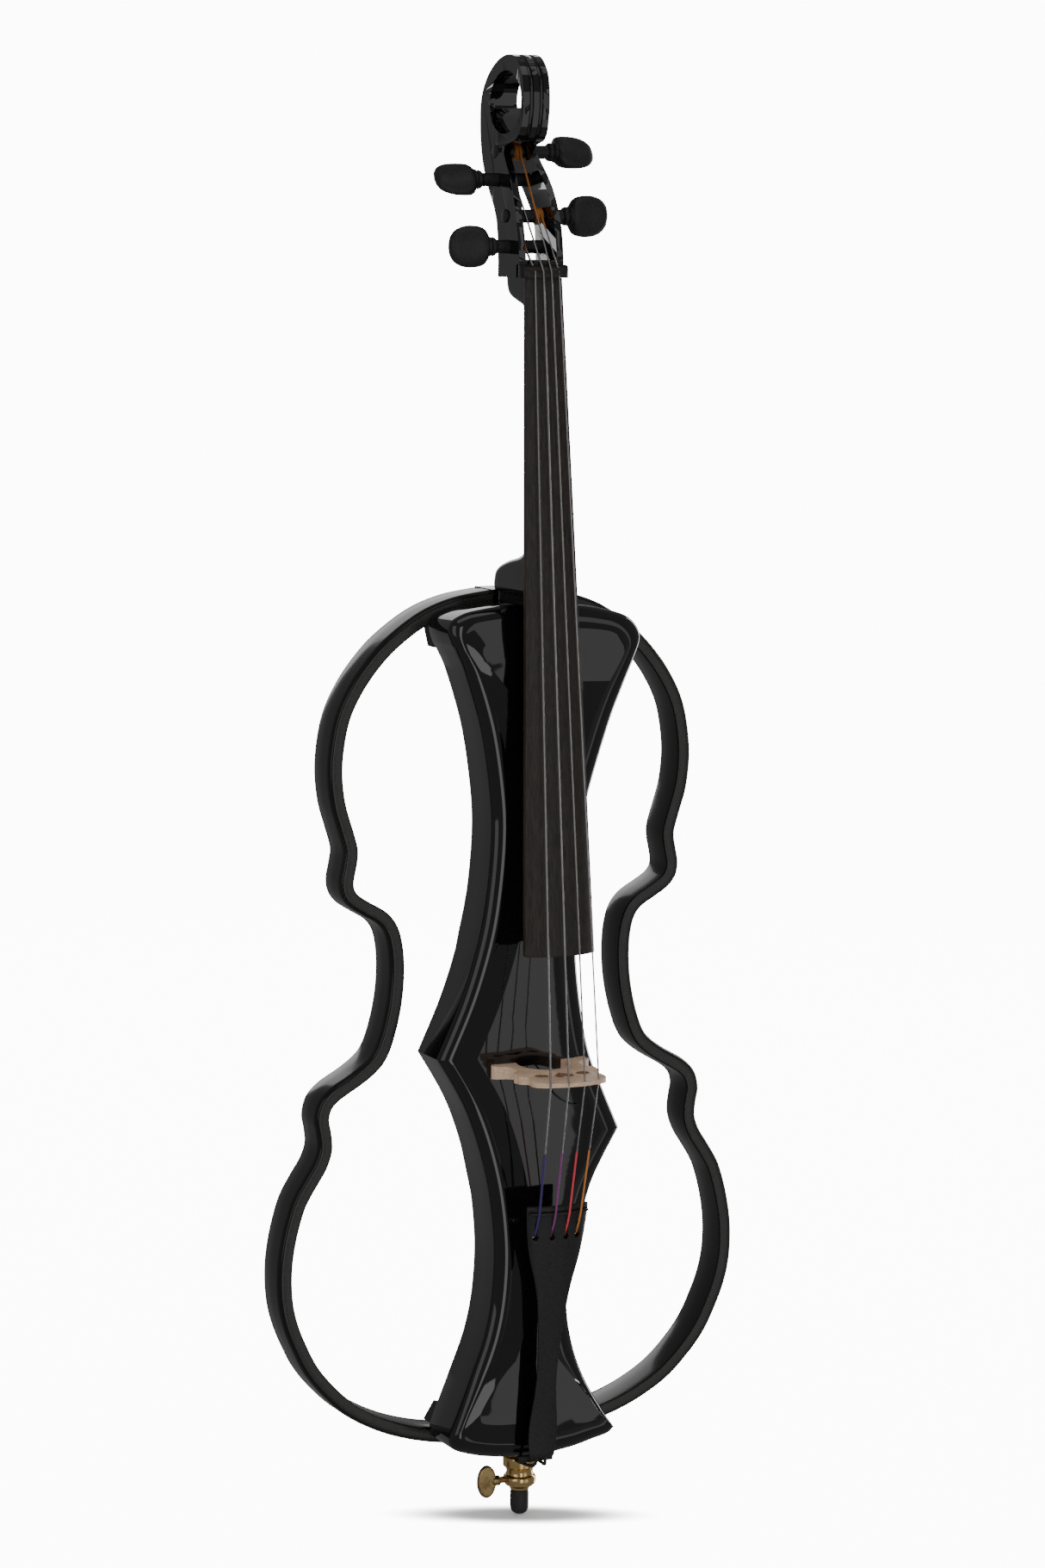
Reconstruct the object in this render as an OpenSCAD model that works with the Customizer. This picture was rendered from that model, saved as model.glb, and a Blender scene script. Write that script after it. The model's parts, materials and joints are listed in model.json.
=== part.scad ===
// Full-size electric cello with an open skeleton body.
// Millimetres, +Z up. The origin is the ground end of the retracted endpin,
// on the endpin's axis. The strings face -Y and +X is the A-string side.

/* [Body core] */
// Depth of the core's side wall behind the edge rounding
wall_depth = 42; // [36:1:48]
// Radius of the rounding round the core's front edge
edge_round = 10; // [6:1:12]
// Height of the crown on the core's front
crown = 3; // [1:0.5:5]

/* [Bout frames] */
// Radial width of a bout frame, seen from the front
frame_w = 13; // [10:1:15]
// Depth of a bout frame
frame_depth = 37; // [30:1:40]

/* [Strings] */
// Width of the string band at the nut
nut_spread = 22.4; // [20:0.2:24]
// Width of the string band at the bridge
bridge_spread = 46.8; // [44:0.2:48]
// Radii of the C, G, D and A strings
string_r = [0.95, 0.85, 0.75, 0.7]; // [0.5:0.05:1.2]

/* [Fingerboard] */
// Width at the nut
board_w_nut = 34; // [30:1:36]
// Width at the bridge end
board_w_end = 66; // [60:1:68]
// Radius of the playing surface
board_r = 60; // [55:1:70]

/* [Endpin] */
// Radius of the endpin rod
rod_r = 5; // [4:0.5:5]
// Length of the endpin rod
rod_len = 480; // [420:10:500]

/* [Controls] */
// Radius of a control knob
knob_r = 9.5; // [8:0.5:11]
// Clearance of every turning or sliding shaft in its hole
run = 0.05; // [0.02:0.01:0.1]

/* [Hidden] */
$fn = 48;
eps = 0.01;
gap = 0.3;

// Depth stations of the body
core_back = 21;
core_edge = core_back - wall_depth;
core_front = core_edge - edge_round;
frame_back = core_back + frame_depth;

// Heights along the string line
nut_z = 1099;
nut_h = 11;
bridge_z = 412;
board_end_z = 519;
heel_z = 819;
tail_end_z = 64;

// ---------------------------------------------------------------- helpers

function lerp(a, b, t) = a + (b - a) * t;
function clampv(v, lo, hi) = min(max(v, lo), hi);
function rev(v) = [for (i = [len(v) - 1 : -1 : 0]) v[i]];

// Piecewise linear table lookup: rows are [key, value, ...] in rising key order
function look(t, k, c = 1, i = 0) =
    k <= t[0][0] ? t[0][c]
    : i >= len(t) - 1 ? t[len(t) - 1][c]
    : k <= t[i + 1][0]
        ? lerp(t[i][c], t[i + 1][c], (k - t[i][0]) / (t[i + 1][0] - t[i][0]))
        : look(t, k, c, i + 1);

// Catmull-Rom curve through every point, with n steps to a stretch
function cr_point(p0, p1, p2, p3, t) =
    0.5 * (2 * p1 + (p2 - p0) * t + (2 * p0 - 5 * p1 + 4 * p2 - p3) * t * t
           + (3 * p1 - p0 - 3 * p2 + p3) * t * t * t);
function spline(p, n) = [
    for (i = [0 : len(p) - 2], k = [0 : n - 1])
        cr_point(p[max(i - 1, 0)], p[i], p[i + 1], p[min(i + 2, len(p) - 1)], k / n),
    p[len(p) - 1]
];

// Unit normal to the left of the run from a to b
function left_normal(a, b) = let (d = b - a) [-d[1], d[0]] / norm(d);
function mitre(n1, n2) = (n1 + n2) / (1 + n1 * n2);

// A closed, counter-clockwise outline moved inwards by d
function inset(p, d) = let (n = len(p)) [
    for (i = [0 : n - 1])
        p[i] + d * mitre(left_normal(p[(i + n - 1) % n], p[i]), left_normal(p[i], p[(i + 1) % n]))
];

// An open line moved to its left by d
function beside(p, d) = let (n = len(p)) [
    for (i = [0 : n - 1])
        let (a = left_normal(p[max(i - 1, 0)], p[max(i, 1)]),
             b = left_normal(p[min(i, n - 2)], p[min(i + 1, n - 1)]))
        p[i] + d * mitre(a, b)
];

// Cap faces over one ring: one polygon, or a strip of triangles across a waisted ring
function cap(n, waisted) = !waisted ? [[for (i = [0 : n - 1]) i]]
    : concat([[n - 2, n - 1, 0], [n / 2 - 2, n / 2 - 1, n / 2]],
             [for (i = [0 : n / 2 - 3]) each [[i, i + 1, n - 3 - i], [i, n - 3 - i, n - 2 - i]]]);

// Closed skin over a stack of rings with equal point counts
module skin(rings, waisted = false) {
    n = len(rings[0]);
    m = len(rings);
    polyhedron(
        points = [for (r = rings, p = r) p],
        faces = concat(
            cap(n, waisted),
            [for (f = cap(n, waisted)) [for (i = rev(f)) (m - 1) * n + i]],
            [for (j = [0 : m - 2], i = [0 : n - 1])
                let (a = j * n + i, b = j * n + (i + 1) % n)
                each [[a, a + n, b], [b, a + n, b + n]]]));
}

// Round tube along a route, with the given number of sides
module tube(route, r, sides = 8) {
    n = len(route);
    function way(i) =
        let (d = route[min(i + 1, n - 1)] - route[max(i - 1, 0)]) d / norm(d);
    skin([for (i = [0 : n - 1])
        let (w = way(i),
             ref = abs(w[0]) < 0.9 ? [1, 0, 0] : [0, 1, 0],
             u = cross(w, ref) / norm(cross(w, ref)),
             v = cross(w, u))
        [for (k = [0 : sides - 1])
            route[i] + r * (cos(360 * k / sides) * u + sin(360 * k / sides) * v)]]);
}

// Flat outline in X and Z, thickened from y0 to y1
module slab(outline, y0, y1) {
    translate([0, y1, 0]) rotate([90, 0, 0]) linear_extrude(y1 - y0) polygon(outline);
}

// Flat outline in Y and Z, thickened from x0 to x1
module side_slab(outline, x0, x1) {
    translate([x0, 0, 0]) rotate([90, 0, 90]) linear_extrude(x1 - x0) polygon(outline);
}

module box(lo, hi) {
    translate(lo) cube(hi - lo);
}

// Cylinders along the three axes, from a start point
module rod_x(p, r, l) { translate(p) rotate([0, 90, 0]) cylinder(r = r, h = l); }
module rod_y(p, r, l) { translate(p) rotate([-90, 0, 0]) cylinder(r = r, h = l); }
module rod_z(p, r, l) { translate(p) cylinder(r = r, h = l); }

// ---------------------------------------------------------------- body core

// The core is an uneven hourglass: the A side's waist point sits lower.
// Each edge runs upwards from the bottom corner to the top corner.
right_waist = [84, 350];
left_waist = [-92, 424];
right_low = [[82, 76], [71, 92], [52, 125], [40, 158], [34.5, 195], [38, 240], [52, 286],
             [62, 312], right_waist];
right_high = [right_waist, [67, 389], [53, 425], [43, 484], [39.5, 545], [43, 605], [51, 648],
              [71, 711], [84, 743], [95, 768]];
left_low = [[-79.5, 84], [-75, 97], [-60, 134], [-46, 171], [-38.5, 210], [-37, 258],
            [-45, 316], [-64, 375], left_waist];
left_high = [left_waist, [-69, 475], [-52, 529], [-44, 578], [-41, 625], [-44, 665], [-52, 712],
             [-66, 758], [-74, 776], [-79, 785]];
right_edge = concat([[38, 62], [62, 67.5], [76, 71]], open_run(right_low, 2), open_run(right_high, 2),
                    [[95, 768], [101, 785], [97, 797], [86, 806], [66, 812], [40, 816.5]]);
left_edge = concat([[-40, 62.5], [-66, 69], [-77, 75]], open_run(left_low, 2), open_run(left_high, 2),
                   [[-79, 785], [-82.5, 797], [-79, 806], [-68, 812], [-55, 815], [-30, 818]]);

function open_run(p, n) = let (s = spline(p, n)) [for (i = [0 : len(s) - 2]) s[i]];
core_outline = concat(right_edge, [[0, heel_z]], rev(left_edge), [[0, 58.5]]);

// Every point of the crowned front leans towards the nearest point of the centre line
crown_low = 150;
crown_high = 740;
function centre_of(p) = [0, clampv(p[1], crown_low, crown_high)];

function ring_at(outline, y) = [for (p = outline) [p[0], y, p[1]]];
function rounding_ring(a) =
    ring_at(inset(core_outline, edge_round * (1 - cos(a))), core_edge - edge_round * sin(a));
function crown_ring(s) =
    ring_at([for (p = inset(core_outline, edge_round)) lerp(centre_of(p), p, s)],
            core_front - crown * (1 - s * s));

module core_solid() {
    skin(concat(
        [ring_at(core_outline, core_back), ring_at(core_outline, core_edge)],
        [for (a = [30, 60, 90]) rounding_ring(a)],
        [for (s = [0.75, 0.45, 0.15]) crown_ring(s)]), waisted = true);
}

collar_plug_r = 11;
collar_plug_top = 98;
rod_bore_r = rod_r + 0.8;
rod_foot = 14;
rod_bore_top = rod_foot + rod_len + 20;
tenon = [[-14, -10, 780], [14, 14, heel_z + 1]];
bolt_heights = [791, 807];
lead_hole = [38, 376];

module body_core() color([0.03, 0.03, 0.03]) difference() {
    core_solid();
    rod_z([0, 0, 40], collar_plug_r, collar_plug_top - 40);
    rod_z([0, 0, 90], rod_bore_r, rod_bore_top - 90);
    box(tenon[0], tenon[1] + [0, 0, 10]);
    for (z = bolt_heights) rod_y([0, tenon[1][1] - 1, z], bolt_r, 20);
    rod_y([lead_hole[0], -50, lead_hole[1]], 2.2, 65);
    for (p = block_screw_spots) rod_y([p[0], core_back - 16, p[1]], screw_r, 20);
}

// ---------------------------------------------------------------- back spine

spine_half = [[62, 22], [80, 22], [110, 22], [160, 20], [241, 16.5], [290, 25], [340, 36], [385, 43],
              [440, 44], [497, 41], [540, 32], [600, 22.5], [680, 21], [780, 22], [800, 22], [828, 22]];
spine_right = spline([for (p = spine_half) [p[1], p[0]]], 2);
spine_outline = concat(spine_right, rev([for (p = spine_right) [-p[0], p[1]]]));

cavity = [[-31, 30, 393], [31, frame_back + 1, 489]];
plate_lo = [-35, frame_back - 2, 385];
plate_hi = [35, frame_back, 497];
battery_bay = [[-14, 38, 318], [14, frame_back + 1, 371]];
door_lo = [-17, frame_back - 2, 314];
door_hi = [17, frame_back, 375];
door_axis = [frame_back - 2.5, 311];
knuckle_r = 2.4;
door_pin_r = 1;
bolt_r = 3;
bolt_head_r = 5;
screw_r = 1.6;
dowel_r = 4;
dowel_y = 40;
dowel_heights = [68.5, 820.5];

module back_spine() color([0.03, 0.03, 0.03]) difference() {
    slab(spine_outline, core_back, frame_back);
    box(cavity[0], cavity[1]);
    box(plate_lo, plate_hi + [0, 1, 0]);
    box(battery_bay[0], battery_bay[1]);
    // The recess reaches lower than the door so that its edge can swing
    box(door_lo - [gap, 0, 2.8], door_hi + [gap, 1, gap]);
    // Pocket for the door's knuckle, and the pin's two seats
    box([-7, frame_back - 7, 305], [7, frame_back + 1, 315]);
    rod_x([-11, door_axis[0], door_axis[1]], door_pin_r, 22);
    // Wire way between the battery bay and the controls
    box([-5, 40, 370], [5, 50, 394]);
    for (z = bolt_heights) {
        rod_y([0, core_back - 1, z], bolt_r, frame_depth + 2);
        rod_y([0, frame_back - 6, z], bolt_head_r, 7);
    }
    for (z = dowel_heights) rod_x([-23, dowel_y, z], dowel_r, 46);
    for (p = plate_screw_spots) rod_y([p[0], frame_back - 12, p[1]], 1.3, 12);
}

// ---------------------------------------------------------------- bout frames

// Outer line of the right frame, from the top joint round to the bottom joint
frame_line = [[22, 827.5], [57, 822], [89, 810], [121, 788], [143, 765], [158, 743], [168, 721],
              [173.5, 695], [175, 670], [172, 644], [165.5, 622], [160.5, 604], [162, 591],
              [164.5, 577], [162.5, 565], [155, 555], [141, 546], [128, 538], [120.5, 527],
              [117, 508], [117, 485], [120, 462], [126, 439], [134, 422], [150, 409], [172, 396],
              [183.5, 384], [187.5, 369], [185.5, 356], [184.5, 343], [189, 330], [198, 316],
              [208.5, 298], [216, 275], [221, 250], [222.5, 228], [221, 205], [216, 184],
              [207.5, 163], [196, 141], [179, 120], [157, 100], [127, 83], [95, 71.5], [60, 64.5],
              [22, 62]];

module frame_half() {
    outer = spline(frame_line, 2);
    inner = beside(outer, -frame_w);
    last = len(inner) - 1;
    squared = [for (i = [0 : last]) (i == 0 || i == last) ? [22, inner[i][1]] : inner[i]];
    difference() {
        slab(concat(rev(outer), squared), core_back, frame_back);
        for (z = dowel_heights) rod_x([20, dowel_y, z], dowel_r, 22);
    }
}
module frame_right() color([0.09, 0.09, 0.09]) frame_half();
module frame_left() color([0.09, 0.09, 0.09]) mirror([1, 0, 0]) frame_half();

module frame_dowels() color("burlywood")
    for (s = [-1, 1], z = dowel_heights)
        rod_x([s > 0 ? 2 : -41.5, dowel_y, z], dowel_r, 39.5);

// Blocks that tie each frame to a corner of the core, with two screws each
block_lines = [
    [[58, 800], [66, 780], [78, 779], [82, 797], [70, 802.5]],
    [[-58, 800], [-66, 780], [-76, 779], [-80, 797], [-70, 802.5]],
    [[56, 82], [60, 100], [70, 102], [80, 86], [66, 80]],
    [[-56, 82], [-60, 100], [-68, 102], [-78, 86], [-66, 80]]];
block_screw_spots = [[68, 787], [72, 796], [-68, 787], [-70, 796],
                     [64, 88], [67, 96], [-64, 88], [-66, 96]];
block_back = core_back + 16;

module corner_blocks() color([0.05, 0.05, 0.05]) difference() {
    for (p = block_lines) slab(p, core_back, block_back);
    for (p = block_screw_spots) {
        rod_y([p[0], core_back - 1, p[1]], screw_r, 20);
        rod_y([p[0], block_back - 2.5, p[1]], 3, 4);
    }
}
module block_screws() color("gray")
    for (p = block_screw_spots) {
        rod_y([p[0], core_back - 14, p[1]], screw_r, 14 + 14);
        rod_y([p[0], block_back - 2.5, p[1]], 2.9, 2.2);
    }

// ---------------------------------------------------------------- neck and head

// Playing surface and underside of the fingerboard at a height
function board_top(z) = lerp(-38, -87, (nut_z - z) / (nut_z - board_end_z));
function board_half(z) =
    lerp(board_w_nut, board_w_end, (nut_z - z) / (nut_z - board_end_z)) / 2;
function board_sag(x) = board_r - sqrt(board_r * board_r - x * x);
board_edge = 5.5;
function board_under_at(z) = board_top(z) + board_sag(board_half(z)) + board_edge;
// The underside is flat, so it runs straight between the board's two ends
function board_under(z) = lerp(board_under_at(nut_z), board_under_at(board_end_z),
                               (nut_z - z) / (nut_z - board_end_z));

module fingerboard() color([0.2, 0.17, 0.15])
    skin([for (z = [board_end_z, nut_z])
        let (h = board_half(z))
        concat([for (k = [-5 : 5]) [h * k / 5, board_top(z) + board_sag(h * k / 5), z]],
               [[h, board_under(z), z], [-h, board_under(z), z]])]);

// Rows: height, half width, depth of the back, roundness of the section
neck_rows = [[heel_z, 20, 21, 0.25], [828.4, 20, 21, 0.25], [828.8, 23.2, 21, 0.22],
             [842, 23.2, 21, 0.24], [848, 22.6, 17, 0.28], [852, 21.8, 10, 0.34],
             [855.5, 20.8, 0, 0.42], [857.5, 20, -8, 0.5], [859.5, 19, -14.5, 0.6],
             [862.5, 17.8, -20, 0.7], [868, 16.5, -22.5, 0.8], [880, 15.5, -23, 0.8],
             [1060, 14, -14.5, 0.8], [1072, 14, -13.5, 0.7], [1076, 14.2, -11, 0.6],
             [1078.5, 14.6, -5, 0.5], [1082, 15.2, 3, 0.42], [1086, 15.5, 9, 0.38],
             [1092, 15.5, 12, 0.36], [nut_z, 15.5, 13, 0.35]];

function neck_ring(z, h, back, round) = [
    for (k = [0 : 16])
        let (a = 180 * k / 16, front = board_under(z), d = back - front)
        [h * sign(90 - a) * pow(abs(cos(a)), 0.2 + round), front + d * pow(sin(a), round), z]];

module neck() color([0.03, 0.03, 0.03]) difference() {
    union() {
        skin([for (r = neck_rows) neck_ring(r[0], r[1], r[2], r[3])]);
        box(tenon[0], tenon[1]);
    }
    for (z = bolt_heights) rod_y([0, -5, z], bolt_r, 30);
}

module neck_bolts() color("gray")
    for (z = bolt_heights) {
        rod_y([0, -5, z], bolt_r, frame_back + 5 - 5);
        difference() {
            rod_y([0, frame_back - 6, z], bolt_head_r, 5.5);
            translate([0, frame_back - 3.5, z]) rotate([-90, 30, 0]) cylinder(r = 2.6, h = 5, $fn = 6);
        }
    }

// Side view of the pegbox and the open scroll
head_side = [[-24, nut_z], [14, nut_z], [14, 1118], [17, 1144], [26, 1160], [38, 1174], [50, 1188],
             [61, 1204], [69, 1219], [72, 1235], [70, 1252], [60, 1268], [43, 1280.5], [26, 1287],
             [10, 1288.5], [-2, 1285], [-10, 1278], [-15.5, 1269], [-18, 1256], [-18, 1242],
             [-15, 1229], [-10, 1220], [-4, 1215.5], [5, 1213.5], [15, 1211], [15, 1205],
             [8, 1197], [-4, 1184], [-14, 1169], [-21, 1154], [-26, 1138], [-29, 1122],
             [-30, nut_z + nut_h], [-24, nut_z + nut_h]];
// Half width of the head against height
head_half = [[nut_z, 21], [1146, 21], [1174, 19.5], [1200, 16.5], [1218, 13.5], [1232, 12.5],
             [1290, 12.5]];
cheek = 6.5;
slot_low = 1114;
slot_high = 1214.5;
eye = [18, 1248];
eye_size = [32, 27];
eye_ledge_z = 1243;
peg_bore = 5.8 + run;

function front_outline(rows, less) = concat(
    [for (r = rows) [r[1] - less, r[0]]], rev([for (r = rows) [-(r[1] - less), r[0]]]));

// Rows of the head table between two heights, with both ends filled in
function rows_between(lo, hi) = concat(
    [[lo, look(head_half, lo)]],
    [for (r = head_half) if (r[0] > lo && r[0] < hi) r],
    [[hi, look(head_half, hi)]]);

module eye_shape(grow, low) {
    intersection() {
        polygon([for (k = [0 : 35])
            eye + [(eye_size[0] + grow) * cos(10 * k), (eye_size[1] + grow) * sin(10 * k)]]);
        translate([-100, low]) square([300, 200]);
    }
}

module scroll_head() color([0.03, 0.03, 0.03]) difference() {
    intersection() {
        side_slab(head_side, -30, 30);
        slab(front_outline(head_half, 0), -60, 90);
    }
    slab(front_outline(rows_between(slot_low, slot_high), cheek), -60, 90);
    // The scroll's eye is open above its ledge and a shallow recess below it
    translate([-30, 0, 0]) rotate([90, 0, 90]) linear_extrude(60) eye_shape(0, eye_ledge_z);
    for (s = [-1, 1]) translate([s > 0 ? 8 : -38, 0, 0])
        rotate([90, 0, 90]) linear_extrude(30) eye_shape(0, 1200);
    for (p = pegs) rod_x([-40, p[1], p[2]], peg_bore, 80);
}

// The nut's front is rounded where the strings turn back into the pegbox
module nut() color([0.2, 0.17, 0.15]) difference() {
    intersection() {
        side_slab([[-30, nut_z], [-42.6, nut_z], [-42.6, nut_z + 4], [-41.8, nut_z + 6.3],
                   [-40, nut_z + 8.6], [-37, nut_z + 10.4], [-33.5, nut_z + nut_h],
                   [-30, nut_z + nut_h]], -22, 22);
        union() {
            box([-22, -36, nut_z - 1], [22, -20, nut_z + 20]);
            for (s = [-1, 1]) rod_z([15 * s, -36, nut_z - 1], 7, 20);
            box([-15, -50, nut_z - 1], [15, -30, nut_z + 20]);
        }
    }
    for (i = [0 : 3])
        tube([string_route(i)[3], string_route(i)[4], string_route(i)[5]], string_r[i], 8);
}

// ---------------------------------------------------------------- pegs

// Each peg: side of its head, depth, height, turn of the head, string place
pegs = [[-1, -6, 1125, 0], [-1, 24, 1182, 45], [1, 32, 1206, -43], [1, 0, 1151, 5]];
peg_r = 5.8;
peg_head_len = 36;
peg_head_out = 76;
peg_head_thick = 19;

module peg_shape(p) {
    far = look(head_half, p[2]) + 1.5;
    translate([0, p[1], p[2]]) rotate([0, p[0] > 0 ? 0 : 180, 0]) rotate([p[3], 0, 0]) {
        rod_x([-far, 0, 0], peg_r, far + 41);
        rotate([0, 90, 0]) rotate_extrude() polygon([
            [0, 33], [peg_r + 0.7, 33], [8, 35], [8.2, 36.5], [7, 37.5], [7, 38], [9, 39.5],
            [9, 41], [0, 41]]);
        intersection() {
            rotate([0, 90, 0]) rotate_extrude() polygon([
                [0, 40.3], [9.5, 40.3], [14.6, 42.8], [17.2, 48], [18, 56.5], [16.7, 65.3],
                [12.3, 72.3], [4.8, 75.7], [0, peg_head_out]]);
            box([30, -peg_head_thick / 2, -20], [80, peg_head_thick / 2, 20]);
        }
    }
}
module peg_c() color([0.08, 0.08, 0.08]) peg_shape(pegs[0]);
module peg_g() color([0.08, 0.08, 0.08]) peg_shape(pegs[1]);
module peg_d() color([0.08, 0.08, 0.08]) peg_shape(pegs[2]);
module peg_a() color([0.08, 0.08, 0.08]) peg_shape(pegs[3]);

// Windings of each string on its peg, as one sleeve
turn_r = [8.2, 7.8, 7.6, 7.4];
turn_len = 7;
turn_x = [-10.5, -6, 3.5, 9.5];
module turns(i) {
    p = pegs[i];
    translate([0, p[1], p[2]]) difference() {
        rod_x([turn_x[i] - turn_len / 2, 0, 0], turn_r[i], turn_len);
        rod_x([-30, 0, 0], peg_r, 60);
    }
}
module turns_c() color([0.5, 0.25, 0.08]) turns(0);
module turns_g() color([0.5, 0.25, 0.08]) turns(1);
module turns_d() color([0.5, 0.25, 0.08]) turns(2);
module turns_a() color([0.5, 0.25, 0.08]) turns(3);

// ---------------------------------------------------------------- strings

function nut_x(i) = nut_spread * (i / 3 - 0.5);
function bridge_x(i) = bridge_spread * (i / 3 - 0.5);
function string_nut_y(i) = -42.5 + ((i == 0 || i == 3) ? 0.8 : 0);
bridge_tops = [-109.5, -113, -112.6, -107.5];
tail_x = [-17, -2.5, 10.8, 22.5];
keyhole_z = 268;
slot_top_z = 281;
fret_z = 290;

// Front surface of the tailpiece on its centre line and its half width
tail_rows = [[64, 11.5, -49], [80, 13.5, -49.5], [98, 13, -50.5], [120, 10.5, -52.5],
             [140, 9.5, -54.5], [172, 11, -58.5], [205, 14, -63], [225, 17.5, -65.5],
             [250, 24, -69], [270, 27.3, -71.7], [285, 28.7, -73.7], [296, 29.5, -75]];
function tail_front(z) = look(tail_rows, z, 2);
function tail_mid(z) = 4.5 * (z - 64) / 232;
function tail_dip(h) = 0.26 * h;
tail_thick = 7;

// Point where a line from n meets the front of a circle of radius r round c
function tangent(n, c, r) =
    let (d = norm(c - n), a = atan2(c[1] - n[1], c[0] - n[0]) + asin(r / d))
    n + sqrt(d * d - r * r) * [cos(a), sin(a)];

// Route of string i: ball end, tailpiece fret, bridge, nut, and its peg's windings
nut_turn_z = nut_z + 5;
function string_route(i) =
    let (p = pegs[i],
         dip = 5 * pow((tail_x[i] - tail_mid(fret_z)) / 29, 2),
         t = tangent([string_nut_y(i), nut_turn_z], [p[1], p[2]], turn_r[i] + string_r[i] + gap))
    [[tail_x[i], tail_front(keyhole_z) + dip + 3.4, keyhole_z + 1.5],
     [tail_x[i], tail_front(slot_top_z) + dip - 0.5, slot_top_z - 1],
     [tail_x[i], tail_front(fret_z) + dip - 2.6 - string_r[i], fret_z],
     [bridge_x(i), bridge_tops[i] - string_r[i] * 0.3, bridge_z],
     [nut_x(i), string_nut_y(i), nut_turn_z],
     [turn_x[i], t[0], t[1]]];

module one_string(i) tube(string_route(i), string_r[i], 8);
module string_c() color("silver") one_string(0);
module string_g() color("silver") one_string(1);
module string_d() color("silver") one_string(2);
module string_a() color("silver") one_string(3);

module string_balls() color("silver")
    for (i = [0 : 3]) {
        s = string_route(i)[0];
        translate(s + [0, string_r[i] + 3.0, -1.5]) rod_x([-1.6, 0, 0], 2.2, 3.2);
    }

// ---------------------------------------------------------------- bridge and pickup

bridge_half = 45;
// Outline of the bridge in X and height above the core's front
bridge_line = [[-45, 0], [-22, 0], [-22.5, 9], [-21, 16], [-14, 26], [0, 31], [14, 26], [21, 16],
               [22.5, 9], [22, 0], [45, 0], [46, 6], [42, 10], [34, 14], [31, 24], [37, 33],
               [37, 44], [33, 50], [34, 60], [31, 71], [22, 76], [8, 79.6], [-8, 80], [-22, 77.6],
               [-32, 73], [-35, 62], [-33, 50], [-37, 44], [-37, 33], [-31, 24], [-34, 14],
               [-42, 10], [-46, 6]];
bridge_foot_y = core_front - crown;

module bridge_hole(x, h, rx, rz) {
    translate([x, bridge_foot_y - h, bridge_z - 20]) scale([rx, rz, 1]) cylinder(r = 1, h = 40);
}

module bridge() color([0.8, 0.66, 0.5]) difference() {
    // Thick at the feet, thin at the top, upright on its tailpiece side
    intersection() {
        translate([0, 0, bridge_z - 7])
            linear_extrude(14)
            polygon([for (p = bridge_line) [p[0], bridge_foot_y + (p[1] < 1 ? 4 : 0) - p[1]]]);
        side_slab([[-20, bridge_z - 6], [-20, bridge_z + 6], [-55, bridge_z + 4.2],
                   [-119, bridge_z + 1], [-119, bridge_z - 1.8], [-55, bridge_z - 5]], -50, 50);
    }
    core_solid();
    for (x = [-1, 1]) rod_z([19.5 * x, bridge_foot_y - 49, bridge_z - 20], 5.5, 40);
    rod_z([0, bridge_foot_y - 50, bridge_z - 20], 4.5, 40);
    for (i = [0 : 3])
        tube([string_route(i)[2], string_route(i)[3], string_route(i)[4]], string_r[i], 8);
}

module piezo_pickup() color([0.1, 0.1, 0.1])
    box([-6, bridge_foot_y - 30.5, bridge_z - 3], [6, bridge_foot_y - 22, bridge_z + 3]);

lead_route = [[4, bridge_foot_y - 22, 412], [4.5, -52, 411.5], [5, -46, 410], [5.5, -41, 407],
              [6.5, -37.5, 403], [9, -36, 397], [13, -35.6, 391], [18, -35.4, 385.5],
              [24, -35.2, 381], [30, -35.2, 378], [35, -36, 376.3], [37.5, -36.5, 376],
              [38, -35, 376], [38, -32, 376], [38, -27, 376]];
module pickup_lead() color([0.05, 0.05, 0.05]) tube(lead_route, 0.7, 8);

module lead_grommet() color([0.05, 0.05, 0.05]) difference() {
    rod_y([lead_hole[0], -32, lead_hole[1]], 2.2, 8);
    rod_y([lead_hole[0], -40, lead_hole[1]], 0.7, 20);
}

// ---------------------------------------------------------------- tailpiece

function tail_ring(r) =
    let (z = r[0], h = r[1], top = r[2], dip = tail_dip(h) * h / 29, m = tail_mid(z))
    concat([for (k = [-4 : 4]) [m + h * k / 4, top + dip * (k / 4) * (k / 4), z]],
           [[m + h * 0.92, top + dip + tail_thick * 0.4, z],
            [m + h * 0.5, top + tail_thick + dip * 0.25, z],
            [m - h * 0.5, top + tail_thick + dip * 0.25, z],
            [m - h * 0.92, top + dip + tail_thick * 0.4, z]]);

module tailpiece() color([0.1, 0.1, 0.1]) difference() {
    skin([for (r = tail_rows) tail_ring(r)]);
    for (x = tail_x) {
        rod_y([x, -100, keyhole_z], 2.6, 60);
        box([x - 1.1, -100, keyhole_z], [x + 1.1, -40, slot_top_z]);
    }
    for (x = [-4, 4]) rod_z([x, tail_front(tail_end_z) + 4, 50], 1.5, 26);
    tail_fret_cut();
}
module tail_fret_cut()
    translate([tail_mid(fret_z), 0, fret_z - 1.2]) linear_extrude(2.4) polygon(concat(
        [for (k = [-6 : 6]) [28 * k / 6, tail_front(fret_z) + fret_dip(k / 6) - 2.6]],
        rev([for (k = [-6 : 6]) [28 * k / 6, tail_front(fret_z) + fret_dip(k / 6) + 2]])));
function fret_dip(t) = 7.2 * t * t * 0.86;

module tailpiece_fret() color([0.16, 0.14, 0.13]) difference() {
    tail_fret_cut();
    for (i = [0 : 3])
        tube([string_route(i)[1], string_route(i)[2], string_route(i)[3]], string_r[i], 8);
}

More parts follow.
